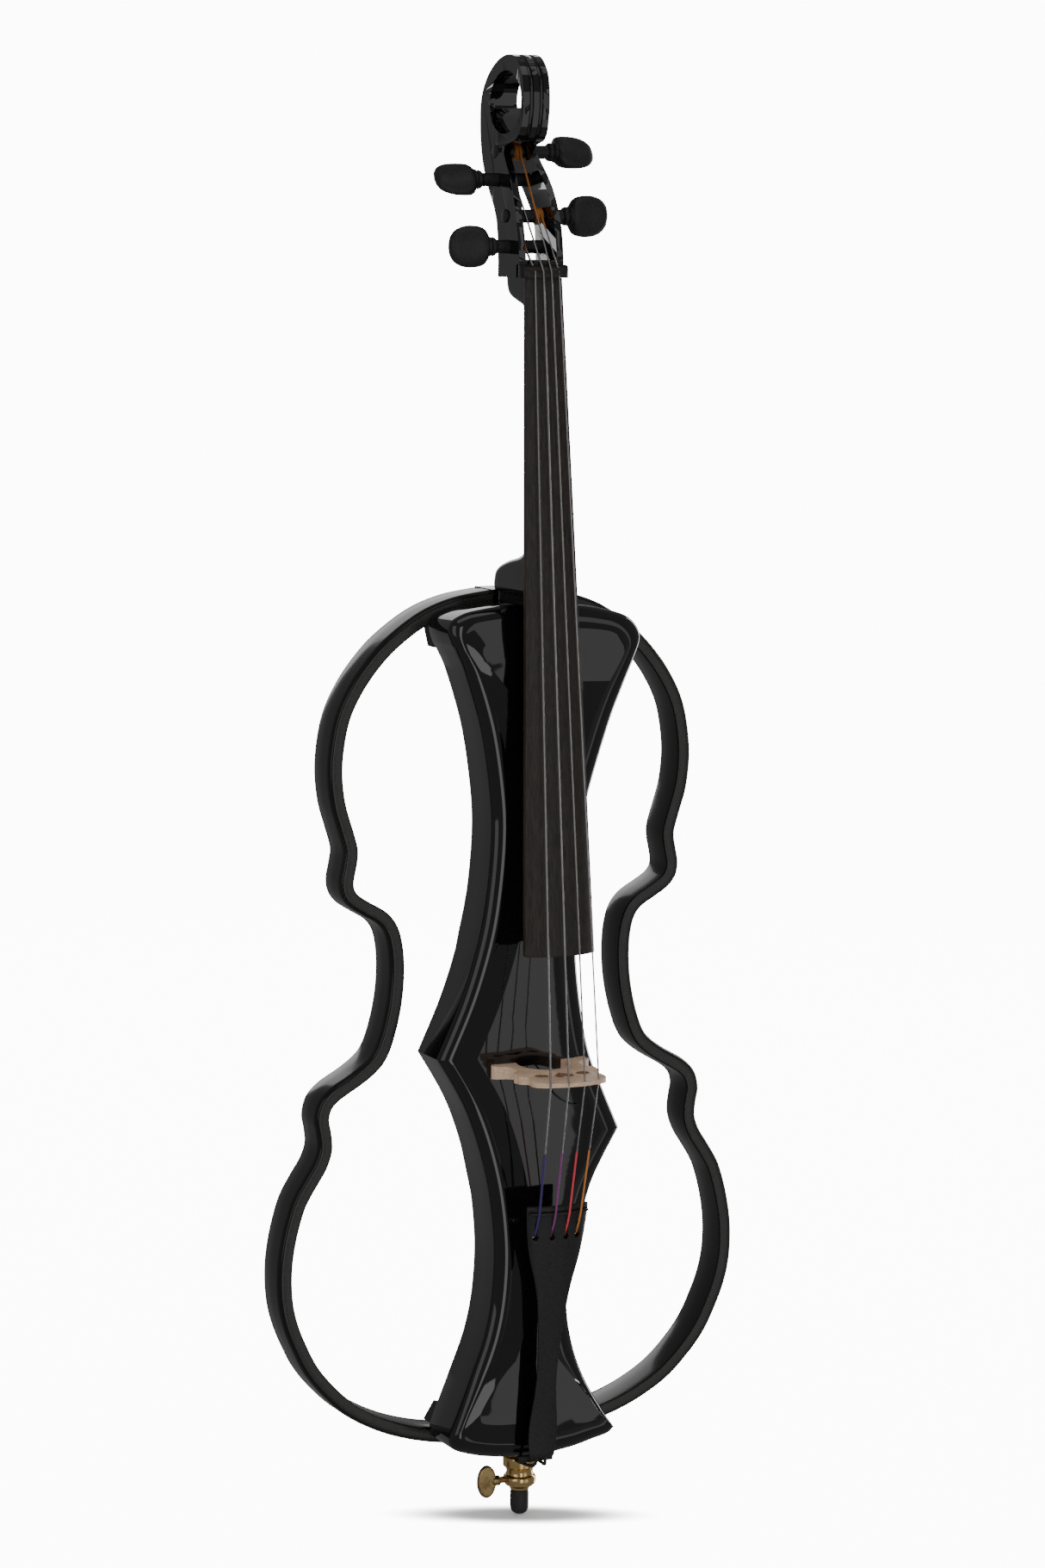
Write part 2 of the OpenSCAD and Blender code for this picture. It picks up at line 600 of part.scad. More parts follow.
// The tail cord leaves the tailpiece, bends over the saddle and runs to the collar
cord_r = 1.5;
module tail_cord() color([0.08, 0.08, 0.08])
    for (s = [-1, 1])
        tube([[4 * s, -45, 76], [4 * s, -45, 64], [4.3 * s, -44.6, 60], [5 * s, -43, 57],
              [6 * s, -39.5, 55], [7 * s, -35, 54.2], [8 * s, -28, 53.6], [9 * s, -20, 53.3],
              [9.6 * s, -15, 53.2], [9.2 * s, -12.3, 53]], cord_r, 8);

module saddle() color([0.1, 0.08, 0.07]) difference() {
    box([-16, -37, 56], [16, -18, 63.5]);
    core_solid();
    for (s = [-1, 1])
        tube([[4 * s, -45, 64], [4.3 * s, -44.6, 60], [5 * s, -43, 57], [6 * s, -39.5, 55],
              [7 * s, -35, 54.2], [8 * s, -28, 53.6], [9 * s, -20, 53.3], [9.6 * s, -15, 53.2]],
             cord_r, 8);
}

// ---------------------------------------------------------------- endpin

collar_foot = 22.4;
screw_z = 32.5;
thumb_r = 3;

module endpin_collar() color([0.75, 0.6, 0.3]) difference() {
    union() {
        rotate_extrude() polygon([
            [0, collar_foot], [8.6, collar_foot], [9.4, 25], [13, 27.5], [14.8, 30.5], [14.9, 33],
            [14.2, 35], [12.6, 37], [12.2, 39.5], [12.8, 42], [14.6, 44.5], [15, 47], [14.9, 52.5],
            [13.5, 55], [0, 55]]);
        rod_z([0, 0, 54], collar_plug_r, collar_plug_top - 54);
    }
    rod_z([0, 0, 10], rod_r + run, 100);
    rod_x([-20, 0, screw_z], thumb_r + run, 20);
    for (s = [-1, 1])
        tube([[8 * s, -28, 53.6], [9 * s, -20, 53.3], [9.6 * s, -15, 53.2], [9.2 * s, -12.3, 53]],
             cord_r, 8);
}

module endpin_rod() color("silver") rod_z([0, 0, rod_foot], rod_r, rod_len);

module endpin_tip() color([0.06, 0.06, 0.06]) difference() {
    rotate_extrude() polygon([
        [0, 0], [3.5, 0], [5.6, 0.8], [7.2, 2.4], [8.1, 4.6], [8.4, 7.5], [8.4, 20.5], [7.8, 22],
        [0, 22]]);
    rod_z([0, 0, rod_foot], rod_r, 20);
}

// The thumb screw's paddle stands in its own axis; it turns about X
module endpin_thumbscrew() color([0.55, 0.43, 0.2]) union() {
    rod_x([-24, 0, screw_z], thumb_r, 24 - rod_r - 0.4);
    translate([-22.5, 0, screw_z]) rotate([0, -90, 0]) rotate_extrude() polygon([
        [0, -6.5], [4.6, -6.5], [4.6, -2], [4, 2.5], [0, 2.5]]);
    intersection() {
        translate([-32.3, 0, screw_z]) resize_disc(9, 14.8);
        box([-45, -2.6, 0], [-20, 2.6, 60]);
    }
}
// Oval disc in the X and Z plane
module resize_disc(rx, rz) {
    translate([0, 5, 0]) rotate([90, 0, 0]) linear_extrude(10)
        polygon([for (k = [0 : 35]) [rx * cos(10 * k), rz * sin(10 * k)]]);
}

// ---------------------------------------------------------------- controls on the back

plate_screw_spots = [[-32.8, 388.5], [32.8, 388.5], [-32.8, 493.5], [32.8, 493.5]];
volume_spot = [-16, 470];
tone_spot = [16, 470];
switch_spot = [0, 441];
phones_spot = [-16, 411];
output_spot = [14, 411];
pot_shaft_r = 3;
bush_r = 4.4;
output_r = 3.2;
phones_r = 1.8;

module control_plate() color([0.1, 0.1, 0.1]) difference() {
    box(plate_lo, plate_hi);
    for (p = [volume_spot, tone_spot]) rod_y([p[0], 50, p[1]], bush_r, 20);
    rod_y([output_spot[0], 50, output_spot[1]], 4.8, 20);
    rod_y([phones_spot[0], 50, phones_spot[1]], 3.2, 20);
    box([switch_spot[0] - 7, 50, switch_spot[1] - 2.3], [switch_spot[0] + 7, 70, switch_spot[1] + 2.3]);
    for (p = plate_screw_spots) {
        rod_y([p[0], 50, p[1]], 1.3, 20);
        rod_y([p[0], frame_back - 1.2, p[1]], 2.2, 4);
    }
}
module plate_screws() color("gray")
    for (p = plate_screw_spots) {
        rod_y([p[0], frame_back - 11.5, p[1]], 1.3, 11);
        rod_y([p[0], frame_back - 1.2, p[1]], 2.1, 1.1);
    }

module knob(p) {
    translate([p[0], 0, p[1]]) rotate([-90, 0, 0]) difference() {
        union() {
            translate([0, 0, 52]) cylinder(r = pot_shaft_r, h = 12);
            translate([0, 0, frame_back + 2.8]) cylinder(r = knob_r, h = 9.5);
            translate([0, 0, frame_back + 12]) cylinder(r = knob_r - 1.2, h = 2);
        }
        // Pointer groove across the rim, level with the top face
        translate([-0.6, 4, frame_back + 12.5]) cube([1.2, 6, 3]);
    }
}
module volume_knob() color([0.08, 0.08, 0.08]) knob(volume_spot);
module tone_knob() color([0.08, 0.08, 0.08]) knob(tone_spot);

module potentiometers() color("darkgray")
    for (p = [volume_spot, tone_spot]) difference() {
        union() {
            rod_y([p[0], 43, p[1]], 8.2, frame_back - 2 - 43);
            rod_y([p[0], 50, p[1]], bush_r, frame_back + 2 - 50);
            translate([p[0], frame_back, p[1]]) rotate([-90, 0, 0]) cylinder(r = 5.9, h = 1.8, $fn = 6);
        }
        rod_y([p[0], 51, p[1]], pot_shaft_r + run, 20);
    }

module preamp_board() color([0.1, 0.3, 0.15]) union() {
    box([-27, 30, 396], [27, 31.6, 486]);
    box([-20, 31.6, 430], [-8, 34, 440]);
    box([4, 31.6, 424], [16, 33.6, 432]);
    for (x = [-20, -8, 4, 18]) rod_y([x, 31.6, 448], 2.5, 7);
}

module jack(p, r, body_r, sleeve_r, body_y) {
    difference() {
        union() {
            rod_y([p[0], body_y, p[1]], body_r, frame_back - 2 - body_y);
            rod_y([p[0], body_y + 1, p[1]], sleeve_r, frame_back + 2.6 - body_y - 1);
            translate([p[0], frame_back, p[1]]) rotate([-90, 0, 0])
                cylinder(r = sleeve_r + 2.2, h = 1.8, $fn = 6);
        }
        rod_y([p[0], body_y + 2, p[1]], r, 60);
    }
}
module output_jack() color("silver") jack(output_spot, output_r, 7.5, 4.8, 34);
module headphone_jack() color("silver") jack(phones_spot, phones_r, 5, 3.2, 40);

module switch_body() color("gray") difference() {
    box([-10, 49, switch_spot[1] - 4.5], [10, frame_back - 2, switch_spot[1] + 4.5]);
    box([-7, 52, switch_spot[1] - 2.3], [7, 60, switch_spot[1] + 2.3]);
}
module switch_slider() color([0.08, 0.08, 0.08])
    box([-6.7, 52.3, switch_spot[1] - 2], [-0.7, frame_back + 2, switch_spot[1] + 2]);

module battery() color([0.3, 0.3, 0.32]) union() {
    box([-13.2, 38.2, 318.4], [13.2, 55.6, 364.5]);
    rod_z([-6.3, 47, 364], 4, 2.6);
    rod_z([6.3, 47, 364], 2.9, 2.6);
}

// Knuckle of the door round its pin, joined to the door's lower edge
module battery_door() color([0.1, 0.1, 0.1]) difference() {
    union() {
        box(door_lo, door_hi);
        rod_x([-6.5, door_axis[0], door_axis[1]], knuckle_r, 13);
        box([-6.5, door_axis[0] - 0.5, door_axis[1]], [6.5, frame_back - 0.2, door_lo[2] + 1]);
    }
    rod_x([-10, door_axis[0], door_axis[1]], door_pin_r + run, 20);
    // Finger groove at the opening edge
    rod_x([-6, frame_back + 1, 371], 2, 12);
}
module battery_door_pin() color("silver") rod_x([-10.8, door_axis[0], door_axis[1]], door_pin_r, 21.6);

// ---------------------------------------------------------------- assembly

body_core();
back_spine();
frame_left();
frame_right();
corner_blocks();
block_screws();
frame_dowels();
neck();
scroll_head();
neck_bolts();
fingerboard();
nut();
peg_c();
peg_g();
peg_d();
peg_a();
turns_c();
turns_g();
turns_d();
turns_a();
string_c();
string_g();
string_d();
string_a();
string_balls();
bridge();
piezo_pickup();
pickup_lead();
lead_grommet();
tailpiece();
tailpiece_fret();
tail_cord();
saddle();
endpin_collar();
endpin_rod();
endpin_tip();
endpin_thumbscrew();
control_plate();
plate_screws();
volume_knob();
tone_knob();
potentiometers();
preamp_board();
battery();
battery_door();
battery_door_pin();
output_jack();
headphone_jack();
switch_body();
switch_slider();
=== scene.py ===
"""Electric cello with a solid core and open bout frames, dressed in its own finishes.

Shapes are worked out in millimetres in the CAD frame (+Z up, strings towards -Y)
and turned into metres when a mesh is made.
"""
import json
import logging
import math
from dataclasses import dataclass
from enum import Enum
from typing import Any, Callable, Iterable, Optional, Sequence

import bmesh
import bpy
from mathutils import Matrix, Vector

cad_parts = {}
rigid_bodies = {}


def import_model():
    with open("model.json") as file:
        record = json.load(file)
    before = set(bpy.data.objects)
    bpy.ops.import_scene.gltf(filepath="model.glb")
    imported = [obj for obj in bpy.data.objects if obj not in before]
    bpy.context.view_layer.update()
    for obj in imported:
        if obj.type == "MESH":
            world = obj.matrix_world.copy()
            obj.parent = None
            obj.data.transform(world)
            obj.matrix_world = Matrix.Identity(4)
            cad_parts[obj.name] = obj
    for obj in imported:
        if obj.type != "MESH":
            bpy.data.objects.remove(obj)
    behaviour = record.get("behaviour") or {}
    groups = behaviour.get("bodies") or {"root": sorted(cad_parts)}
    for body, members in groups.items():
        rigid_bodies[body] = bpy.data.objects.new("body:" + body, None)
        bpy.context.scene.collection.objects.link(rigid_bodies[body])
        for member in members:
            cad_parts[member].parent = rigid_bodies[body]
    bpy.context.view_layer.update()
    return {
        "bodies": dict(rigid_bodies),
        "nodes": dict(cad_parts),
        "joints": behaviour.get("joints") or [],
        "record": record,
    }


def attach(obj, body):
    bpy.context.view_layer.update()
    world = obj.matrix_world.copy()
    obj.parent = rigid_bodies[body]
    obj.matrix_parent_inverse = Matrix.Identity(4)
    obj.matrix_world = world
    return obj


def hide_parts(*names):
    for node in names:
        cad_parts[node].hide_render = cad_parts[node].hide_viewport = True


log = logging.getLogger("cello")
MM = 0.001
BEVEL_ANGLE = 38
Point = tuple[float, float, float]
Flat = tuple[float, float]


# ---------------------------------------------------------------- shader maths

class Sock:
    """A shader socket that takes part in Python expressions."""

    def __init__(self, shade: "Shade", socket: bpy.types.NodeSocket) -> None:
        """Wrap a socket of the given shade's tree."""
        self.shade = shade
        self.socket = socket

    def _math(self, operation: str, *values: Any) -> "Sock":
        """Add one Math node and return its result."""
        return self.shade.node("ShaderNodeMath", {"operation": operation}, dict(enumerate(values)))

    def __add__(self, other: Any) -> "Sock":
        """Sum."""
        return self._math("ADD", self, other)

    __radd__ = __add__

    def __sub__(self, other: Any) -> "Sock":
        """Difference."""
        return self._math("SUBTRACT", self, other)

    def __rsub__(self, other: Any) -> "Sock":
        """Reflected difference."""
        return self._math("SUBTRACT", other, self)

    def __mul__(self, other: Any) -> "Sock":
        """Product."""
        return self._math("MULTIPLY", self, other)

    __rmul__ = __mul__

    def __truediv__(self, other: Any) -> "Sock":
        """Quotient."""
        return self._math("DIVIDE", self, other)

    def __pow__(self, other: Any) -> "Sock":
        """Power."""
        return self._math("POWER", self, other)

    def sine(self) -> "Sock":
        """Sine of the value in radians."""
        return self._math("SINE", self)

    def between(self, low: float, high: float) -> "Sock":
        """Smooth 0 to 1 ramp of the value from low to high.

        Args:
            low: value that gives 0.
            high: value that gives 1.
        """
        return self.shade.node("ShaderNodeMapRange", {"interpolation_type": "SMOOTHSTEP"},
                               {"Value": self, "From Min": low, "From Max": high})


class Shade:
    """One material's node tree and the helpers that fill it."""

    def __init__(self, name: str) -> None:
        """Start a material with a Principled shader."""
        self.material = bpy.data.materials.new(name)
        self.material.use_nodes = True
        self.tree = self.material.node_tree
        self.shader = self.tree.nodes["Principled BSDF"]

    def node(self, kind: str, settings: Optional[dict[str, Any]] = None,
             inputs: Optional[dict[Any, Any]] = None, output: Any = 0) -> Sock:
        """Add a node, set it up and link it.

        Args:
            kind: the node's type name.
            settings: attributes set before anything is linked; "stops" fills a ramp.
            inputs: socket name or index to a value or a Sock.
            output: name or index of the socket returned.

        Returns:
            The wrapped output socket.
        """
        node = self.tree.nodes.new(kind)
        for key, value in (settings or {}).items():
            if key == "stops":
                for i, (where, colour) in enumerate(value):
                    stop = (node.color_ramp.elements[i] if i < 2
                            else node.color_ramp.elements.new(where))
                    stop.position, stop.color = where, (*colour, 1.0)
            else:
                setattr(node, key, value)
        for key, value in (inputs or {}).items():
            if isinstance(value, Sock):
                self.tree.links.new(value.socket, node.inputs[key])
            else:
                node.inputs[key].default_value = value
        return Sock(self, node.outputs[output])

    def place(self, scale: Point = (1, 1, 1), turn: Point = (0, 0, 0)) -> Sock:
        """Object coordinates, turned (in degrees) and then stretched.

        Args:
            scale: stretch along each axis.
            turn: Euler rotation in degrees.
        """
        coords = self.node("ShaderNodeTexCoord", output="Object")
        turned = self.node("ShaderNodeMapping", {"vector_type": "TEXTURE"}, {
            "Vector": coords, "Rotation": tuple(math.radians(a) for a in turn)})
        return self.node("ShaderNodeMapping", None, {"Vector": turned, "Scale": scale})

    def axis(self, which: str) -> Sock:
        """One object coordinate in metres.

        Args:
            which: "X", "Y" or "Z".
        """
        coords = self.node("ShaderNodeTexCoord", output="Object")
        return self.node("ShaderNodeSeparateXYZ", None, {0: coords}, which)

    def noise(self, scale: float, detail: float = 3.0, where: Optional[Sock] = None,
              rough: float = 0.5, warp: float = 0.0) -> Sock:
        """Smooth noise from 0 to 1.

        Args:
            scale: cells in a metre, before any stretch.
            detail: octaves.
            where: coordinates, or the object's own.
            rough: how strong the finer octaves are.
            warp: distortion.
        """
        return self.node("ShaderNodeTexNoise", None, {
            "Vector": where or self.place(), "Scale": scale, "Detail": detail,
            "Roughness": rough, "Distortion": warp})

    def mix(self, factor: Any, low: Any, high: Any) -> Sock:
        """Blend two colours.

        Args:
            factor: 0 for low, 1 for high.
            low: colour or socket.
            high: colour or socket.
        """
        node = self.tree.nodes.new("ShaderNodeMix")
        node.data_type = "RGBA"
        sockets = [s for s in node.inputs if s.enabled]
        for socket, value in zip((sockets[0], sockets[-2], sockets[-1]), (factor, low, high)):
            if isinstance(value, Sock):
                self.tree.links.new(value.socket, socket)
            elif isinstance(value, (int, float)):
                socket.default_value = value
            else:
                socket.default_value = (*value, 1.0)
        return Sock(self, next(s for s in node.outputs if s.enabled))

    def bump(self, height: Sock, strength: float, distance: float) -> None:
        """Feed a height into the shader's normal.

        Args:
            height: 0 to 1.
            strength: share of the effect.
            distance: depth of a full step, in metres.
        """
        made = self.node("ShaderNodeBump", None, {
            "Height": height, "Strength": strength, "Distance": distance})
        self.feed(Normal=made)

    def feed(self, **values: Any) -> None:
        """Set or link the shader's own sockets; underscores stand for spaces."""
        for key, value in values.items():
            socket = self.shader.inputs[key.replace("_", " ")]
            if isinstance(value, Sock):
                self.tree.links.new(value.socket, socket)
            elif isinstance(value, tuple) and len(value) == 3 and socket.type == "RGBA":
                socket.default_value = (*value, 1.0)
            else:
                socket.default_value = value


class Grain(Enum):
    """Direction that a grain runs in."""

    ALONG = (90.0, 90.0, 4.0)
    ACROSS = (4.0, 90.0, 90.0)
    NONE = (60.0, 60.0, 60.0)


@dataclass(frozen=True)
class Lacquer:
    """Deep polished black lacquer with a faint orange peel."""

    name: str = "polished_black_lacquer"
    colour: Point = (0.0022, 0.0022, 0.0024)
    rough: float = 0.03

    def make(self) -> bpy.types.Material:
        """Build the material."""
        s = Shade(self.name)
        haze = s.noise(9, 4)
        dust = s.noise(420, 2).between(0.62, 0.8)
        s.feed(Base_Color=s.mix(haze, self.colour, tuple(c * 1.5 for c in self.colour)),
               Roughness=self.rough + haze * 0.035 + dust * 0.03, IOR=1.5,
               Coat_Weight=0.5, Coat_Roughness=0.03)
        s.bump(s.noise(70, 2), 0.10, 0.0004)
        return s.material


@dataclass(frozen=True)
class RibWeave:
    """Black rib with a faint slanting texture under its lacquer."""

    name: str = "rib_lacquer"
    colour: Point = (0.0045, 0.0043, 0.0042)

    def make(self) -> bpy.types.Material:
        """Build the material."""
        s = Shade(self.name)
        slant = (s.axis("Z") * 1500 + s.axis("Y") * 2300 + s.noise(30, 3) * 5).sine()
        band = slant.between(0.2, 0.9)
        patch = s.noise(11, 3).between(0.45, 0.62)
        s.feed(Base_Color=s.mix(band * patch, self.colour, (0.014, 0.0135, 0.013)),
               Roughness=0.13 + band * 0.07 + s.noise(25, 3) * 0.05, IOR=1.5,
               Specular_IOR_Level=0.32, Coat_Weight=0.15, Coat_Roughness=0.08)
        s.bump(band * patch, 0.16, 0.00015)
        return s.material


@dataclass(frozen=True)
class RibFrontReflection:
    """Flat front face of a rib: its lighter grey-brown is a painted reflection of a soft light;
    the fine flecks are an open-pored texture under satin varnish.
    """

    name: str = "rib_front_edge"
    low: Point = (0.006, 0.0054, 0.005)
    high: Point = (0.042, 0.037, 0.033)

    def make(self) -> bpy.types.Material:
        """Build the material."""
        s = Shade(self.name)
        fleck = s.noise(900, 3, rough=0.7).between(0.4, 0.72)
        broad = s.noise(60, 3)
        # The lighter grey-brown tone is a painted reflection; the flecks are texture.
        tone = s.mix(fleck * (0.5 + broad * 0.6), self.low, self.high)
        s.feed(Base_Color=tone, Roughness=0.32 + fleck * 0.2, IOR=1.5,
               Coat_Weight=0.3, Coat_Roughness=0.15)
        s.bump(fleck, 0.35, 0.0002)
        return s.material


@dataclass(frozen=True)
class Stained:
    """Dark wood with a satin surface and fine grain."""

    name: str
    low: Point
    high: Point
    rough: float = 0.42
    grain: Grain = Grain.ALONG
    pores: float = 0.25
    specular: float = 0.5

    def make(self) -> bpy.types.Material:
        """Build the material."""
        s = Shade(self.name)
        where = s.place(self.grain.value)
        streak = s.noise(9, 6, where, 0.65, 0.3)
        pore = s.noise(60, 3, where, 0.6).between(0.56, 0.72)
        s.feed(Base_Color=s.mix(streak.between(0.3, 0.75), self.low, self.high),
               Roughness=self.rough + streak * 0.12 + pore * 0.1,
               Specular_IOR_Level=self.specular)
        s.bump(streak * 0.5 + pore * 0.5, self.pores, 0.00018)
        return s.material


@dataclass(frozen=True)
class Maple:
    """Pale quartered maple with fine flecks; a darker copy of it is painted shade on the bridge's
    hole walls.
    """

    name: str = "bridge_maple"
    low: Point = (0.52, 0.345, 0.225)
    high: Point = (0.69, 0.50, 0.355)

    def make(self) -> bpy.types.Material:
        """Build the material."""
        s = Shade(self.name)
        ring = s.noise(26, 5, s.place((9, 60, 20)), 0.6, 0.2)
        fleck = s.noise(110, 2, s.place((3, 14, 5))).between(0.57, 0.66)
        tone = s.mix(ring.between(0.3, 0.7), self.low, self.high)
        s.feed(Base_Color=s.mix(fleck * 0.5, tone, (0.42, 0.25, 0.15)),
               Roughness=0.42 + fleck * 0.12)
        s.bump(ring * 0.6 + fleck * 0.4, 0.2, 0.0002)
        return s.material


@dataclass(frozen=True)
class Metal:
    """Turned or drawn metal with fine rings, handling marks and tarnish."""

    name: str
    bright: Point
    dull: Point
    rough: float = 0.22
    rings: float = 2600.0
    tarnish: float = 0.5

    def make(self) -> bpy.types.Material:
        """Build the material."""
        s = Shade(self.name)
        stain = s.noise(130, 4, rough=0.6).between(0.42, 0.75)
        ring = (s.axis("Z") * self.rings * 6.28 / 6 + s.noise(40, 2) * 2).sine()
        s.feed(Base_Color=s.mix(stain * self.tarnish, self.bright, self.dull), Metallic=1.0,
               Roughness=self.rough + stain * 0.16 + ring * 0.02)
        s.bump(ring * 0.5 + 0.5, 0.06, 0.00005)
        return s.material


@dataclass(frozen=True)
class Wound:
    """Thread or flat wire wound round a string or a peg."""

    name: str
    colour: Point
    dark: Point
    metal: float = 0.0
    rough: float = 0.6
    pitch: float = 0.00045

    def make(self) -> bpy.types.Material:
        """Build the material."""
        s = Shade(self.name)
        turn = (s.axis("Z") * (6.2832 / self.pitch) + s.axis("X") * 900).sine() * 0.5 + 0.5
        patch = s.noise(300, 3)
        # The grooves between turns are painted darker as shade in the grooves; the patches are
        # random tone.
        s.feed(Base_Color=s.mix(turn * 0.55 + patch * 0.45, self.dark, self.colour),
               Metallic=self.metal, Roughness=self.rough + patch * 0.1)
        s.bump(turn, 0.35, 0.00008)
        return s.material


@dataclass(frozen=True)
class Moulded:
    """Rubber or plastic with a fine moulded grain."""

    name: str
    colour: Point
    rough: float = 0.5
    grit: float = 0.2
    shine: float = 0.5

    def make(self) -> bpy.types.Material:
        """Build the material."""
        s = Shade(self.name)
        grit = s.noise(1500, 2)
        smear = s.noise(45, 3)
        s.feed(Base_Color=s.mix(smear, self.colour, tuple(c * 1.6 for c in self.colour)),
               Roughness=self.rough + smear * 0.12 + grit * 0.05, Specular_IOR_Level=self.shine)
        s.bump(grit, self.grit, 0.0001)
        return s.material


class Finishes:
    """Every finish of the instrument, made once."""

    def __init__(self) -> None:
        """Build the materials."""
        self.lacquer = Lacquer().make()
        self.rib = RibWeave().make()
        self.rib_front_reflection = RibFrontReflection().make()
        self.satin = Stained("satin_black_stain", (0.010, 0.010, 0.0105), (0.019, 0.0188, 0.019),
                             0.40, Grain.NONE, 0.06, 0.36).make()
        self.board = Stained("fingerboard_stain", (0.015, 0.0118, 0.0100), (0.037, 0.0285, 0.0242),
                             0.42, Grain.ALONG, 0.3, 0.35).make()
        self.dark_nut = Stained("nut_stain", (0.008, 0.0062, 0.0054), (0.018, 0.0135, 0.0115),
                                0.34, Grain.ACROSS, 0.25, 0.4).make()
        self.maple = Maple().make()
        # Darker maple for the bridge's hole walls: painted shade in the holes.
        self.maple_painted_hole_shade = Maple("bridge_maple_bore", (0.16, 0.085, 0.045),
                                (0.27, 0.155, 0.085)).make()
        self.dowel = Stained("plain_beech", (0.42, 0.27, 0.15), (0.6, 0.42, 0.26), 0.5,
                             Grain.ACROSS).make()
        self.brass = Metal("polished_brass", (0.80, 0.56, 0.24), (0.52, 0.33, 0.12), 0.17,
                           tarnish=0.45).make()
        self.old_brass = Metal("antique_brass", (0.42, 0.30, 0.14), (0.16, 0.10, 0.045), 0.33,
                               tarnish=0.8).make()
        self.steel = Metal("drawn_steel", (0.62, 0.62, 0.64), (0.42, 0.42, 0.44), 0.24).make()
        self.nickel = Metal("nickel_plate", (0.72, 0.71, 0.68), (0.5, 0.49, 0.46), 0.14).make()
        self.string = Wound("flat_wound_string", (0.50, 0.49, 0.48), (0.24, 0.235, 0.23), 1.0,
                            0.26, 0.0004).make()
        self.silks = [
            Wound("silk_indigo", (0.045, 0.022, 0.17), (0.018, 0.009, 0.075)).make(),
            Wound("silk_purple", (0.25, 0.045, 0.21), (0.12, 0.018, 0.10)).make(),
            Wound("silk_red", (0.80, 0.06, 0.085), (0.45, 0.02, 0.035)).make(),
            Wound("silk_orange", (0.62, 0.24, 0.04), (0.36, 0.11, 0.015)).make()]
        self.peg_silk = Wound("silk_amber", (0.48, 0.17, 0.025), (0.22, 0.065, 0.01),
                              rough=0.5, pitch=0.0009).make()
        self.rubber = Moulded("black_rubber", (0.012, 0.012, 0.012), 0.5, 0.3).make()
        self.plate = Moulded("matt_plate", (0.011, 0.011, 0.012), 0.55, 0.35).make()
        self.gloss = Moulded("gloss_knob", (0.009, 0.009, 0.01), 0.2, 0.08).make()
        self.cord = Wound("braided_cord", (0.022, 0.022, 0.022), (0.006, 0.006, 0.006),
                          rough=0.55, pitch=0.0014).make()
        self.resist = Moulded("solder_resist", (0.01, 0.07, 0.03), 0.3, 0.05).make()
        self.shell = Moulded("battery_sleeve", (0.03, 0.03, 0.034), 0.28, 0.05).make()
        self.mark = Moulded("pointer_white", (0.75, 0.75, 0.73), 0.45, 0.1).make()


# ---------------------------------------------------------------- shapes

def lerp(a: float, b: float, t: float) -> float:
    """Straight blend from a to b."""
    return a + (b - a) * t


def clamp(v: float, low: float, high: float) -> float:
    """v held between low and high."""
    return max(low, min(high, v))


def rev(values: Sequence[Any]) -> list[Any]:
    """The values in reverse order."""
    return list(reversed(values))


def angles(count: int) -> list[float]:
    """Angles in radians that share out a full turn."""
    return [math.tau * k / count for k in range(count)]


def look(table: Sequence[Sequence[float]], key: float, column: int = 1,
         smooth: bool = True) -> float:
    """Value of a table's column at a key, smooth between its rows.

    Args:
        table: rows that start with a rising key.
        key: where to read.
        column: which value of a row.
        smooth: cubic instead of straight between rows.

    Returns:
        The value.
    """
    if key <= table[0][0]:
        return table[0][column]
    if key >= table[-1][0]:
        return table[-1][column]
    i = next(n for n in range(len(table) - 1) if key <= table[n + 1][0])
    a, b = table[i], table[i + 1]
    t = (key - a[0]) / (b[0] - a[0])
    if not smooth:
        return lerp(a[column], b[column], t)
    before, after = table[max(i - 1, 0)], table[min(i + 2, len(table) - 1)]
    span = b[0] - a[0]
    ma = (b[column] - before[column]) / max(b[0] - before[0], 1e-6) * span
    mb = (after[column] - a[column]) / max(after[0] - a[0], 1e-6) * span
    t2, t3 = t * t, t * t * t
    return ((2 * t3 - 3 * t2 + 1) * a[column] + (t3 - 2 * t2 + t) * ma
            + (3 * t2 - 2 * t3) * b[column] + (t3 - t2) * mb)


def spline(points: Sequence[Sequence[float]], steps: int) -> list[tuple[float, ...]]:
    """Catmull-Rom curve through every point.

    Args:
        points: the points, of any dimension.
        steps: stretches between two points.

    Returns:
        The finer line, both ends included.
    """
    out: list[tuple[float, ...]] = []
    last = len(points) - 1
    for i in range(last):
        p0, p1 = points[max(i - 1, 0)], points[i]
        p2, p3 = points[i + 1], points[min(i + 2, last)]
        for k in range(steps):
            t = k / steps
            out.append(tuple(
                0.5 * (2 * b + (c - a) * t + (2 * a - 5 * b + 4 * c - d) * t * t
                       + (3 * b - a - 3 * c + d) * t ** 3)
                for a, b, c, d in zip(p0, p1, p2, p3)))
    out.append(tuple(points[-1]))
    return out


def left_of(a: Sequence[float], b: Sequence[float]) -> Vector:
    """Unit normal to the left of the run from a to b."""
    d = Vector((b[0] - a[0], b[1] - a[1]))
    return Vector((-d.y, d.x)).normalized() if d.length > 1e-9 else Vector((0.0, 0.0))


def mitre(a: Vector, b: Vector) -> Vector:
    """Offset direction where two edges with these normals meet."""
    return (a + b) / max(1 + a.dot(b), 0.25)


def beside(line: Sequence[Flat], d: float) -> list[Flat]:
    """An open line moved to its left by d."""
    last = len(line) - 1
    out = []
    for i, p in enumerate(line):
        a = left_of(line[max(i - 1, 0)], line[max(i, 1)])
        b = left_of(line[min(i, last - 1)], line[min(i + 1, last)])
        m = mitre(a, b)
        out.append((p[0] + d * m.x, p[1] + d * m.y))
    return out


def put(name: str, data: bpy.types.ID) -> bpy.types.Object:
    """Make an object of some data and link it into the scene."""
    made = bpy.data.objects.new(name, data)
    bpy.context.scene.collection.objects.link(made)
    return made


